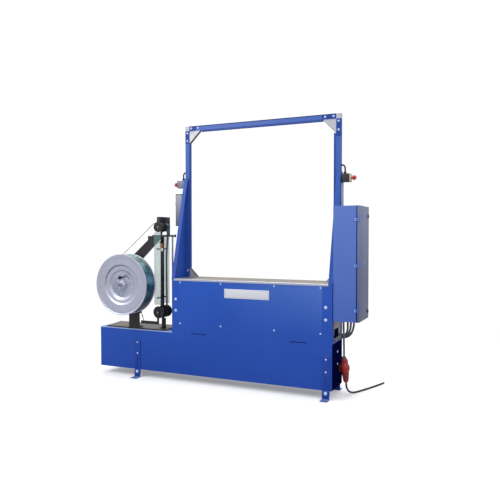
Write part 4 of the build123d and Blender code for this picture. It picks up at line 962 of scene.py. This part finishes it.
# skin, four returns and a seal strip: a door tray, open at the back
p.box(x1 - t, x1, y0, y1, z0, z1, 0.9)
p.box(x0, x1 - 0.5, y0, y0 + t, z0, z1, 0.8)
p.box(x0, x1 - 0.5, y1 - t, y1, z0, z1, 0.8)
p.box(x0, x1 - 0.5, y0 + 0.5, y1 - 0.5, z0, z0 + t, 0.8)
p.box(x0, x1 - 0.5, y0 + 0.5, y1 - 0.5, z1 - t, z1, 0.8)
for a, b, c, d in ((y0 + 8, y1 - 8, z0 + 8, z0 + 14), (y0 + 8, y1 - 8, z1 - 14, z1 - 8),
                   (y0 + 8, y0 + 14, z0 + 8, z1 - 8), (y1 - 14, y1 - 8, z0 + 8, z1 - 8)):
    p.box(x1 - 13, x1 - 1.5, a, b, c, d, 1.5, 2, m=1)
for hz in (677.0, 998.0, 1330.0):
    p.lathe(arc_fillet([(3.1, 0.5), (6.0, 0.5), (6.0, 25.0), (3.1, 25.0)], 0.6, 2, True),
            (1063, -137, hz), "Z", 32, 2)
    p.box(1059, 1067, -133.5, -129.6, hz + 0.6, hz + 24.9, 0.6, 2, m=2)
for lz in (630.0, 1348.0):
    p.ring((x1, 148, lz), "X", 8.3, 15.5, -0.2, 1.6, 48, m=3, edge=0.5)
    p.ring((x1 - 12, 148, lz), "X", 8.3, 14.0, 0.0, 10.5, 36, m=3, edge=0.6)
p.lathe([(0, 0), (8.0, 0), (8.0, 1.0), (6.4, 2.4), (3.0, 3.0), (0, 3.0)], (x1, 38, 1005), "X", 36, 4,
        closed=False)
p.build("cabinet_door_tray", [M["door"], M["rubber"], M["hinge"], M["knob_dark"], M["lip"]],
        "door", "cabinet_blue", ["cabinet_door"])
# painted shade: a dark frame in the gap round the door, for the shade inside the gap
p = Parts()
for ya, yb, za, zb in ((-130.5, -127.0, 580.0, 1418.0), (167.0, 170.5, 580.0, 1418.0),
                       (-130.0, 170.0, 578.6, 582.0), (-130.0, 170.0, 1416.0, 1419.4)):
    p.box(1046.5, 1053.6, ya, yb, za, zb, 0.4, 1)
p.build("cabinet_door_gap_shade", [M["gap_blue"]], "machine", "blue_dark")
p = Parts()
for hz in (677.0, 998.0, 1330.0):
    p.lathe(arc_fillet([(0, -25.0), (6.0, -25.0), (6.0, -0.2), (3.0, -0.2), (3.0, 24.8), (0, 25.0)],
                       0.5, 2), (1063, -137, hz), "Z", 32, 0, closed=False)
    p.box(1030, 1060, -134.8, -130.6, hz - 24.8, hz - 0.6, 0.8, 2)
    for dz in (-19, -7):
        p.lathe([(0, 0), (3.4, 0), (2.6, 1.2), (0, 1.5)], (1038, -134.8, hz + dz), "-Y", 20, 1,
                closed=False)
p.build("cabinet_hinge_set", [M["hinge"], M["bolt"]], "machine", "hinge_blue", ["cabinet_hinges"])
for which, lz in (("upper", 1348.0), ("lower", 630.0)):
    p = Parts()
    p.lathe(arc_fillet([(0, -26), (8, -26), (8, 0.2), (12, 0.2), (12, 2.6), (10.5, 3.2), (0, 3.2)],
                       0.5, 2), (1069, 148, lz), "X", 40, closed=False)
    p.box(1071, 1075, 145, 151, lz - 9, lz + 9, 1.2, 2)
    p.box(1042, 1045, 141, 155, lz - 4, lz + 17, 1.0, 2, m=1)
    p.hexa((1042, 148, lz), "-X", 11, -0.2, 3.5, m=1)
    p.build(f"quarter_turn_{which}", [M["knob_dark"], M["bolt"]], "lock_" + which, "lock_black",
            [f"door_lock_{which}"])

# =====================================================================
# conduits, mains lead, plug and coupler
# =====================================================================
def bezier(p0, p1, p2, p3, n=14):
    out = []
    for k in range(n + 1):
        t = k / n
        a, b, c, d = (1 - t) ** 3, 3 * t * (1 - t) ** 2, 3 * t * t * (1 - t), t ** 3
        out.append(tuple(a * p0[i] + b * p1[i] + c * p2[i] + d * p3[i] for i in range(3)))
    return out


p = Parts()
for i, (x, y) in enumerate(((946.0, 30.0), (968.0, 38.0), (990.0, 46.0))):
    ey, ez = 108.0 + 12 * i, 442.0 - 12 * i
    p.tube(bezier((x, y, 572), (x, y, 478 - 8 * i), (928, ey, ez), (874.5, ey, ez)),
           7.4, 18, 0, 10, wave=(4.2, 1.4))
    p.hexa((x, y, 579), "-Z", 20, 0, 7, m=1)
    p.disc((x, y, 579), "-Z", 9.6, 6, 16, 28, m=1, edge=2)
    p.ring((873, ey, ez), "X", 6, 9.5, 0, 6, 32, m=1, edge=1.5)
p.build("corrugated_conduits", [M["conduit"], M["rubber"]], "machine", "conduit_grey", ["conduits"])

p = Parts()
p.hexa((919, 10, 579), "-Z", 20, 0, 7, m=0)
p.disc((919, 10, 579), "-Z", 9.6, 6, 17, 28, m=0, edge=2)
p.tube(bezier((919, 10, 570), (919, 10, 490), (924, 10, 400), (924, 10, 291)), 7.6, 18, 1, 4)
p.tube(bezier((940, 10, 110), (940, 10, 45), (950, 59, 8), (989, 130, 8))
       + bezier((989, 130, 8), (1028, 201, 8), (1097.6, 392, 8), (1127.4, 486.5, 8))[1:],
       6.8, 16, 0, 3)
p.build("mains_leads", [M["rubber"], M["cable_grey"]], "machine", "cable_black", ["mains_cable"])

# plug and coupler, built upright and then leaned on the cable
c = Parts()
plug = [(0, 191.5), (9.0, 191.5), (13.5, 190), (14.8, 184), (15.2, 179), (20, 175), (23.6, 171),
        (24.6, 164), (25.4, 146), (27.2, 138), (33.8, 121), (35.8, 117), (35.8, 108), (34.0, 104.4),
        (0, 104.4)]
c.lathe(arc_fillet(plug[::-1], 1.6, 3), (0, 0, 0), "Z", 56, 0, closed=False)
coup = [(0, 103.6), (33.4, 103.6), (35.0, 102), (35.0, 92), (32.8, 89), (28.0, 80), (26.0, 66),
        (22.0, 40), (19.5, 22), (17.6, 8), (15.5, 0.6), (10, 0), (0, 0)]
c.lathe(arc_fillet(coup[::-1], 1.6, 3), (0, 0, 0), "Z", 56, 0, closed=False)
c.ring((0, 0, 178), "Z", 12.0, 16.4, 0.0, 12.6, 40, m=2, edge=1.5)
for k in range(14):
    a = 2 * math.pi * k / 14
    ca, sa = math.cos(a), math.sin(a)
    c.tube([(18.6 * ca, 18.6 * sa, 16), (22.6 * ca, 22.6 * sa, 44), (26.2 * ca, 26.2 * sa, 70)],
           2.0, 8, 1, 4)
    c.tube([(24.6 * ca, 24.6 * sa, 162), (25.4 * ca, 25.4 * sa, 150)], 1.7, 8, 1, 4)
# sprung cap of the coupler, folded back, with its hinge
q = Parts()
q.lathe(arc_fillet([(0, 0), (25, 0), (25, 6), (21, 9), (0, 10)], 1.5, 3), (0, 0, 0), "Z", 48,
        closed=False)
rot = Matrix.Translation((-36, 0, 104)) @ Matrix.Rotation(math.radians(-84), 4, "Y")
q.v = [tuple(rot @ Vector(w)) for w in q.v]
c.add(q.v, q.f, 1)
c.box(-42, -31, -9, 9, 84, 97, 2.0, 2, m=1)
lean = Matrix.Translation((940, 10, 107)) @ Matrix.Rotation(math.atan2(-16, 191), 4, "Y")
c.v = [tuple(lean @ Vector(w)) for w in c.v]
c.build("plug_and_coupler", [M["cee"], M["cee_dark"], M["cable_grey"]], "machine", "cee_red",
        ["mains_connector"])

# =====================================================================
# strap spool
# =====================================================================
RIM = 253.0
front = [(16.2, -262.2), (40, -262.0), (60, -264.2), (90, -267.7), (108, -269.8),
         (114, -271.2), (119, -276), (124, -281.5), (131, -283.2), (150, -283.2), (157, -284.6),
         (163, -289.5), (169, -291.8), (180, -291.8), (196, -290.6), (236, -290.2), (243, -291.2),
         (247, -293.6), (250.5, -294), (253, -292), (253, -288.5), (251.2, -286.6), (248.6, -287.2),
         (245.2, -288.8), (236, -288.2), (196, -288.4), (178, -289.6), (170, -289.4),
         (166, -287.4), (160.5, -282.6), (152, -281.0), (132, -281.0), (127, -279.4),
         (122, -274), (116, -268.6), (108, -267.2), (60, -261.6), (40, -259.3), (16.2, -259.2)]
p = Parts()
p.lathe(front, (SX, 0, SZ), "Y", 128, 0)
# pressed bosses and bolts round the hub
for k in range(6):
    a = math.radians(60 * k + 20)
    p.lathe([(0, 0), (9.5, 0), (8.6, 1.6), (6, 2.4), (0, 2.6)],
            (SX + 78 * math.cos(a), -265.6, SZ + 78 * math.sin(a)), "-Y", 28, 0, closed=False)
    a += math.radians(30)
    p.lathe([(0, 0), (4.6, 0), (4.2, 1.4), (0, 1.6)],
            (SX + 98 * math.cos(a), -268.3, SZ + 98 * math.sin(a)), "-Y", 20, 1, closed=False)
p.disc((SX + 66, -266.6, SZ + 54), "-Y", 8.5, 0.0, 2.2, 28, m=2, edge=0.6)
p.build("front_flange", [M["spun"], M["bolt"], M["edge_grey"]], "spool", "spool_silver",
        ["spool_flange_front"])
p = Parts()
p.lathe(arc_fillet([(15.1, -258), (24, -258), (24, -166.2), (99.5, -166.2), (99.5, -265),
                    (103, -265), (103, -166.4), (170, -165.4), (246, -165.8), (250, -166.4),
                    (253, -164), (253, -161.6), (250, -160.2), (246, -161), (236, -162.6),
                    (170, -162.4), (60, -163), (36, -163), (36, -158.2), (15.1, -158.2)],
                   1.0, 2, True), (SX, 0, SZ), "Y", 128, 0)
for k in range(6):
    a = math.radians(60 * k)
    ca, sa = math.cos(a), math.sin(a)
    x, z = SX + 62 * ca, SZ + 62 * sa
    p.lathe([(0, -0.2), (7.5, -0.2), (7.0, 1.8), (0, 2.2)], (x, -163.2, z), "Y", 24, 1, closed=False)
p.build("rear_flange", [M["spun"], M["bolt"]], "spool", "spool_silver", ["spool_flange_rear"])

# coil: wound surface with strap-wide steps and slightly uneven turns
random.seed(11)
prof = []
y = -284.0
steps = []
while y < -168.0:
    wdt = 9.0
    steps.append((y, min(y + wdt, -167.6), 245.4 + random.uniform(-1.6, 1.0)))
    y += wdt
prof += [(120.0, -264.5), (131.5, -277.0), (164.5, -277.0), (172.5, -284.6)]
for a, b, r in steps:
    prof += [(r - 0.9, a + 0.15), (r, a + 0.9), (r, b - 0.9), (r - 0.9, b - 0.15)]
prof += [(242.0, -167.4), (103.8, -167.4), (103.8, -264.5)]
p = Parts()
p.lathe(prof, (SX, 0, SZ), "Y", 144, 0)
vv = []
for (x, y, z) in p.v:
    dx, dz = x - SX, z - SZ
    r = math.hypot(dx, dz)
    if r > 200 and -283 < y < -168:
        a = math.atan2(dz, dx)
        k = 1 + (0.0022 * math.sin(3 * a + y * 0.05) + 0.0014 * math.sin(7 * a - y * 0.11))
        dx, dz = dx * k, dz * k
    vv.append((SX + dx, y, SZ + dz))
p.v = vv
p.build("wound_coil", [M["coil"]], "spool", "strap_green", ["strap_coil"])

# clamping nut with three wings, black off-centre knob
p = Parts()
p.lathe(arc_fillet([(15.1, -262.2), (33, -262.2), (33, -276), (25, -279), (24, -296), (22, -299.6),
                    (15.1, -299.6)], 1.0, 2, True), (SX, 0, SZ), "Y", 64, 0)
for k in range(3):
    a = math.radians(120 * k + 12)
    c, s2 = math.cos(a), math.sin(a)
    q = Parts()
    q.box(20, 46, -297, -285, -5.5, 5.5, 3.0, 3)
    q.v = [(SX + x * c - z * s2, y, SZ + x * s2 + z * c) for x, y, z in q.v]
    p.add(q.v, q.f, 0)
kx, kz = SX + 2.0, SZ + 60.0
p.lathe([(0, -265.4), (7, -265.4), (7, -300), (12.4, -301), (15, -303.4), (15, -312), (13.2, -316),
         (9, -318), (0, -318)], (kx, 0, kz), "Y", 40, 1, closed=False)
for k in range(8):
    a = 2 * math.pi * k / 8
    p.disc((kx + 13.6 * math.cos(a), -302.5, kz + 13.6 * math.sin(a)), "-Y", 2.4, 0, 11.5, 12, m=1,
           edge=0.8)
p.build("clamp_nut_and_knob", [M["lip"], M["knob_dark"]], "spool", "button_dark", ["spool_knob"])

# =====================================================================
# brake rod, magazine and rollers
# =====================================================================
p = Parts()
p.lathe(arc_fillet([(4.1, -127), (9, -127), (9, -121.6), (4.1, -121.6)], 0.8, 2, True),
        (-772, 0, 472), "Y", 36, 0)
p.tube([(-775, -124.5, 479), (-790.5, -124.5, 518), (-806, -124.5, 556)], 3.0, 14, 0, 4)
p.hexa((-791, -124.5, 519), "Z", 10, -5, 6, m=0)
p.box(-815, -797, -152, -121.6, 545, 561, 1.4, 2, m=0)
arc = [math.radians(a) for a in range(-79, -64)]
pad = ([(SX + 254.6 * math.cos(a), SZ + 254.6 * math.sin(a)) for a in arc]
       + [(SX + 262 * math.cos(a), SZ + 262 * math.sin(a)) for a in reversed(arc)])
p.prism(pad, "XZ", -168, -156.4, 0.6, 1, m=1)
shoe = ([(SX + 255 * math.cos(a), SZ + 255 * math.sin(a)) for a in arc[3:11]]
        + [(SX + 262 * math.cos(a), SZ + 262 * math.sin(a)) for a in reversed(arc[3:11])])
p.prism(shoe, "XZ", -157, -140, 0.6, 1, m=0)
p.build("brake_rod_and_pad", [M["rod"], M["rubber"]], "brake_link", "axle_steel", ["brake_rod"])

x0, x1, y0, y1, z0, z1 = B("magazine_plates")
p = Parts()
for ya, yb, s, top in ((y0, y0 + 3, -1, z1), (y1 - 3, y1, 1, 1199.0)):
    outline = arc_fillet([(x0, z0), (x1, z0), (x1, top), (x0, top)], 7.0, 4, True)
    p.prism(outline, "XZ", ya, yb, 0.5, 1)
    face = ya if s < 0 else yb
    for z in (680.0, 1090.0):
        p.lathe([(0, 0), (6.2, 0), (5.4, 2.0), (2.4, 2.6), (2.2, 1.4), (0, 1.4)],
                (-636, face, z), "-Y" if s < 0 else "Y", 24, 1, closed=False)
p.build("clear_guide_plates", [M["clear"], M["knob_dark"]], "machine", "clear_green",
        ["magazine_plates"])

# hood over the upper roller: top strip, band down the right side, upright and cheeks
ROLL_X, LOW_X = -626.0, -627.0
p = Parts()
ha, hb, hy0, hy1 = -643.0, -610.0, -124.0, 29.0
p.box(ha, hb, hy0 + 0.3, hy1 - 0.3, 1356, 1359, 1.2, 2)
p.box(hb - 3, hb, hy0 + 0.3, hy1 - 0.3, 1309, 1358, 1.2, 2)
p.box(hb - 3, hb, 0, hy1 - 0.3, 1208, 1322, 1.0, 2)
for ya, zlow in ((hy0, 1245.0), (hy1 - 3, 1208.0)):
    cheek = arc_fillet([(ha, zlow), (hb, zlow), (hb, 1359), (ha, 1359)], 3.0, 4, True)
    p.prism(cheek, "XZ", ya, ya + 3, 0.8, 2)
for yy, ax in ((hy0, "-Y"), (hy1, "Y")):
    p.ring((ROLL_X, yy, 1274), ax, 8.4, 13.5, -0.4, 2.6, 40, m=1, edge=0.8)
    p.hexa((-618, yy, 1344), ax, 10, -0.2, 3.6, m=1)
p.build("roller_hood", [M["black"], M["knob_dark"]], "machine", "black_steel", ["magazine_hood"])


def roller(name, node, body, cx, cz, drum, discs, halves, shaft, tip):
    p = Parts()
    p.disc((cx, 0, cz), "Y", 8.0, shaft[0], shaft[1], 36, m=1, edge=1.0)
    for a, b in halves:
        p.lathe(arc_fillet([(8.0, a), (drum, a), (drum, b), (8.0, b)], 1.0, 2, True), (cx, 0, cz),
                "Y", 72, 0)
    for a, b, rim in discs:
        prof = arc_fillet([(8.2, a), (rim, a), (rim, b), (8.2, b)], 1.6, 3, True)
        p.lathe(prof, (cx, 0, cz), "Y", 72, 0)
    # raised hub, rim bead and spokes on the front face
    f, rim = discs[0][0], discs[0][2]
    p.ring((cx, f, cz), "-Y", 8.2, 14, -0.6, tip, 40, m=0, edge=0.5)
    p.ring((cx, f, cz), "-Y", rim - 6.5, rim - 1.5, -0.6, tip, 72, m=0, edge=0.4)
    for k in range(5):
        a = math.radians(72 * k + 90)
        q = Parts()
        q.box(13, rim - 5, f - tip + 0.1, f + 0.6, -3.0, 3.0, 0.4, 1)
        c, s2 = math.cos(a), math.sin(a)
        q.v = [(cx + x * c - z * s2, y, cz + x * s2 + z * c) for x, y, z in q.v]
        p.add(q.v, q.f, 0)
    p.build(name, [M["roller"], M["steel"]], body, "roller_black", [node])


roller("upper_drum", "top_roller", "upper_roller", ROLL_X, 1274.0, 34.0,
       [(-134, -127, 43.5), (-66, -59, 43.0), (-9, -4, 38.0)], [(-118, -66), (-59, -4)],
       (-137.0, 33.0), 1.4)
roller("lower_drum", "bottom_roller", "lower_roller", LOW_X, 560.0, 38.0,
       [(-129.6, -124, 51.0), (-71, -65, 51.0), (-35, -29, 51.0), (-2, 4, 51.0)],
       [(-124, -71), (-29, -2)], (-142.0, 8.0), 0.9)

# tie bar: flat on the arm, square bar, threaded end with a knurled nut, guide rod
p = Parts()
p.box(-735, -590, -108, -40, 1195, 1199, 1.0, 2)
p.box(-735, -524, -58, -42, 1192.2, 1208, 1.4, 2)
p.box(-640, -612, -42, 29, 1200.2, 1208, 1.0, 2)
thread = []
x = -524.0
while x < -506.0:
    thread += [(6.6, x + 524.0), (8.0, x + 524.7), (6.6, x + 525.4)]
    x += 1.6
p.lathe([(0, 0)] + thread + [(0, thread[-1][1])], (-524, -50, 1200), "X", 28, 1, closed=False)
p.lathe(arc_fillet([(0, 10), (12, 10), (12, 17.6), (10.5, 18), (0, 18)], 1.0, 2), (-524, -50, 1200), "X",
        28, 0, closed=False)
p.disc((-536, -50, 407), "Z", 7.0, 0.2, 785.2, 28, m=2, edge=0.6)
p.ring((-536, -50, 407), "Z", 7.2, 13, 0.2, 10, 32, m=0, edge=1.2)
p.build("tie_bar_and_rod", [M["black"], M["steel"], M["rod"]], "machine", "black_steel", ["tie_bar"])

# strap: from the coil to the upper roller
a0 = math.radians(128)
xs, zs = SX + 247.4 * math.cos(a0), SZ + 247.4 * math.sin(a0)
b0 = math.radians(130)
xe, ze = ROLL_X + 45.0 * math.cos(b0), 1274 + 45.0 * math.sin(b0)
pts = [(xs, zs)]
for k in range(1, 24):
    t = k / 24
    pts.append((xs + (xe - xs) * t, zs + (ze - zs) * t - 2.5 * math.sin(math.pi * t)))
pts.append((xe, ze))
p = Parts()
p.ribbon(pts, -146.5, -137.5, 1.2)
p.build("strap_to_roller", [M["strap"]], "machine", "strap_green", ["strap_run"])

# strap stored in the magazine: loops over the upper drum and round the lower one
p = Parts()
random.seed(3)
for i, yy in enumerate((-36.0, -26.5, -17.0)):
    gap = 1.4 + 0.6 * i
    pts = []
    for k in range(19):
        t = k / 18
        pts.append((ROLL_X - 35.4 + (-664.5 - (ROLL_X - 35.4)) * (1 - t)
                    + gap * math.sin(math.pi * t), 600 + (1268 - 600) * t))
    for k in range(1, 15):
        a = math.radians(178 - 11.5 * k)
        pts.append((ROLL_X + 35.4 * math.cos(a), 1274 + 35.4 * math.sin(a)))
    for k in range(1, 20):
        t = k / 19
        pts.append((-592.0 + (-609.0 + 592.0) * min(1.0, t * 3.0) - gap * math.sin(math.pi * t),
                    1262 + (600 - 1262) * t))
    p.ribbon(pts, yy - 4.5, yy + 4.5, 0.9)
p.build("magazine_strap_loops", [M["strap"]], "machine", "strap_green")

# sensor in the upper part of the magazine: copper coil on a white holder, and a clamp bolt
p = Parts()
for k in range(9):
    p.ring((-606, -108, 1100 + k * 4.2), "Z", 8.2, 13.0, 0, 3.6, 32, m=0, edge=1.6)
p.box(-620, -592, -114, -106, 1072, 1098, 2.0, 2, m=1)
p.hexa((-614, -118, 1146), "-Y", 15, -6, 6, m=2)
p.build("magazine_sensor", [M["copper"], M["knob_white"], M["knob_dark"]], "machine", "axle_steel")

# =====================================================================
# strapping head inside the body
# =====================================================================
p = Parts()
fx, fz = 120.0, 670.0
p.lathe(arc_fillet([(9.0, -84), (43, -84), (46, -78), (46, 70), (60, 70), (60, 76), (9.0, 76)], 1.2, 2,
                   True), (fx, 0, fz), "Y", 64, 0)
for k in range(16):
    a = 2 * math.pi * k / 16
    q = Parts()
    q.box(45, 51, -70, 60, -1.4, 1.4, 0.5, 1)
    c, s2 = math.cos(a), math.sin(a)
    q.v = [(fx + x * c - z * s2, y, fz + x * s2 + z * c) for x, y, z in q.v]
    p.add(q.v, q.f, 0)
p.box(fx - 30, fx + 30, -60, 20, fz + 44, fz + 72, 3.0, 3, m=0)
p.lathe(arc_fillet([(0, -110), (36, -110), (40, -104), (40, -84), (0, -84)], 1.5, 2), (fx, 0, fz),
        "Y", 56, 1, closed=False)
p.build("feed_motor_ribbed", [M["motor"], M["rubber"]], "machine", "motor_grey", ["feed_motor"])


def knurled(name, node, body, cx, cz, r, ya, yb, shaft_r, sa, sb, teeth):
    p = Parts()
    p.disc((cx, 0, cz), "Y", shaft_r, sa, sb, 36, m=1, edge=0.8)
    n = teeth * 2
    prof = []
    verts, faces = [], []
    for yy in (ya, ya + 1.2, yb - 1.2, yb):
        inset = 1.2 if yy in (ya, yb) else 0.0
        for k in range(n):
            a = 2 * math.pi * k / n
            rr = r - inset - (0.0 if k % 2 else 0.9)
            verts.append((cx + rr * math.cos(a), yy, cz + rr * math.sin(a)))
    for j in range(3):
        for k in range(n):
            k2 = (k + 1) % n
            faces.append((j * n + k, (j + 1) * n + k, (j + 1) * n + k2, j * n + k2))
    c0, c1 = len(verts), len(verts) + 1
    verts += [(cx, ya, cz), (cx, yb, cz)]
    for k in range(n):
        k2 = (k + 1) % n
        faces.append((c0, k, k2))
        faces.append((c1, 3 * n + k2, 3 * n + k))
    p.add(verts, faces, 0)
    p.build(name, [M["rubber"], M["steel"]], body, "wheel_rubber", [node])


knurled("feed_wheel_knurled", "feed_wheel", "feed", 120.0, 670.0, 40.0, 92, 110, 8.0, -60, 130, 60)
knurled("pinch_wheel_knurled", "pinch_wheel", "pinch", 120.0, 736.0, 25.0, 93, 109, 6.0, 72, 130, 40)

# =====================================================================
# stage, lights, camera
# =====================================================================
scene = bpy.context.scene
t = Tree("studio_floor")
tone = t.mix(t.remap(t.noise(0.6, 2.0, 0.5), 0.3, 0.7, 0.0, 1.0), (0.80, 0.80, 0.81, 1),
             (0.84, 0.84, 0.845, 1))
t.done(tone, 0.8, 0.0, Specular_IOR_Level=0.0)
# seen from the camera the floor runs out to white; in reflections it stays dim
lp = t.n("ShaderNodeLightPath")
glow = t.n("ShaderNodeEmission")
glow.inputs["Color"].default_value = (1, 1, 1, 1)
glow.inputs["Strength"].default_value = 0.24
seen = t.n("ShaderNodeAddShader")
t.l(t.bsdf.outputs[0], seen.inputs[0])
t.l(glow.outputs[0], seen.inputs[1])
dim = t.n("ShaderNodeBsdfDiffuse")
dim.inputs["Color"].default_value = (0.42, 0.42, 0.44, 1)
white = t.n("ShaderNodeEmission")
white.inputs["Color"].default_value = (1, 1, 1, 1)
white.inputs["Strength"].default_value = 1.02
flat = t.n("ShaderNodeVectorMath", operation="MULTIPLY")
t.l(t.tc, flat.inputs[0])
flat.inputs[1].default_value = (1.0, 1.0, 0.0)
away = t.n("ShaderNodeVectorMath", operation="LENGTH")
t.l(flat.outputs[0], away.inputs[0])
fade = t.n("ShaderNodeMixShader")
t.l(t.remap(away.outputs["Value"], 1.9, 3.6, 0.0, 1.0), fade.inputs[0])
t.l(seen.outputs[0], fade.inputs[1])
t.l(white.outputs[0], fade.inputs[2])
pick = t.n("ShaderNodeMixShader")
t.l(lp.outputs["Is Camera Ray"], pick.inputs[0])
t.l(dim.outputs[0], pick.inputs[1])
t.l(fade.outputs[0], pick.inputs[2])
t.l(pick.outputs[0], t.out.inputs[0])
bm = bmesh.new()
g = 24
for i in range(g + 1):
    for j in range(g + 1):
        bm.verts.new((-24 + 48 * i / g, -24 + 48 * j / g, 0.0))
bm.verts.ensure_lookup_table()
for i in range(g):
    for j in range(g):
        a = i * (g + 1) + j
        bm.faces.new([bm.verts[k] for k in (a, a + g + 1, a + g + 2, a + 1)])
me = bpy.data.meshes.new("studio_floor")
bm.to_mesh(me)
bm.free()
me.materials.append(t.mat)
floor = bpy.data.objects.new("studio_floor", me)
scene.collection.objects.link(floor)

world = bpy.data.worlds.new("studio")
scene.world = world
world.use_nodes = True
wt = world.node_tree
bg = wt.nodes["Background"]
wout = wt.nodes["World Output"]
geo = wt.nodes.new("ShaderNodeTexCoord")
sep = wt.nodes.new("ShaderNodeSeparateXYZ")
wt.links.new(geo.outputs["Generated"], sep.inputs[0])
ramp = wt.nodes.new("ShaderNodeValToRGB")
up = wt.nodes.new("ShaderNodeMapRange")
up.inputs["From Min"].default_value = -0.2
up.inputs["From Max"].default_value = 1.0
wt.links.new(sep.outputs["Z"], up.inputs["Value"])
wt.links.new(up.outputs[0], ramp.inputs[0])
ramp.color_ramp.elements[0].position = 0.10
ramp.color_ramp.elements[0].color = (0.46, 0.46, 0.48, 1)
ramp.color_ramp.elements[1].position = 0.85
ramp.color_ramp.elements[1].color = (1.0, 1.0, 1.0, 1)
wt.links.new(ramp.outputs[0], bg.inputs["Color"])
bg.inputs["Strength"].default_value = 1.0
bg2 = wt.nodes.new("ShaderNodeBackground")
bg2.inputs["Color"].default_value = (1, 1, 1, 1)
bg2.inputs["Strength"].default_value = 1.02
wlp = wt.nodes.new("ShaderNodeLightPath")
wmix = wt.nodes.new("ShaderNodeMixShader")
wt.links.new(wlp.outputs["Is Camera Ray"], wmix.inputs[0])
wt.links.new(bg.outputs[0], wmix.inputs[1])
wt.links.new(bg2.outputs[0], wmix.inputs[2])
wt.links.new(wmix.outputs[0], wout.inputs[0])


def area(name, loc, target, size, size_y, power, color=(1, 1, 1)):
    d = bpy.data.lights.new(name, "AREA")
    d.shape = "RECTANGLE"
    d.size, d.size_y, d.energy, d.color = size, size_y, power, color
    o = bpy.data.objects.new(name, d)
    o.location = loc
    o.rotation_euler = (Vector(target) - Vector(loc)).to_track_quat("-Z", "Y").to_euler()
    scene.collection.objects.link(o)
    return o


area("key_soft", (-3.2, -4.6, 4.2), (-0.2, 0.0, 0.8), 3.0, 2.4, 150)
area("fill_soft", (4.6, -3.0, 2.6), (0.2, 0.0, 0.9), 2.6, 2.6, 40)
area("top_soft", (0.0, 0.4, 5.0), (0.0, 0.0, 0.6), 4.0, 3.0, 85)

cam_data = bpy.data.cameras.new("photo_camera")
cam_data.sensor_width = 36.0
cam_data.sensor_fit = "HORIZONTAL"
cam_data.lens = 572.1293553 * 36.0 / 500.0
cam_data.clip_start, cam_data.clip_end = 0.05, 200.0
cam = bpy.data.objects.new("photo_camera", cam_data)
cam.location = ((1162.773 + 873.0) * MM, (-4023.766 - 140.0) * MM, 1209.615 * MM)
cam.rotation_euler = (math.radians(90.0 - 1.5301), 0.0, math.radians(24.3033))
scene.collection.objects.link(cam)
scene.camera = cam
scene.view_settings.view_transform = "Standard"
scene.view_settings.look = "None"
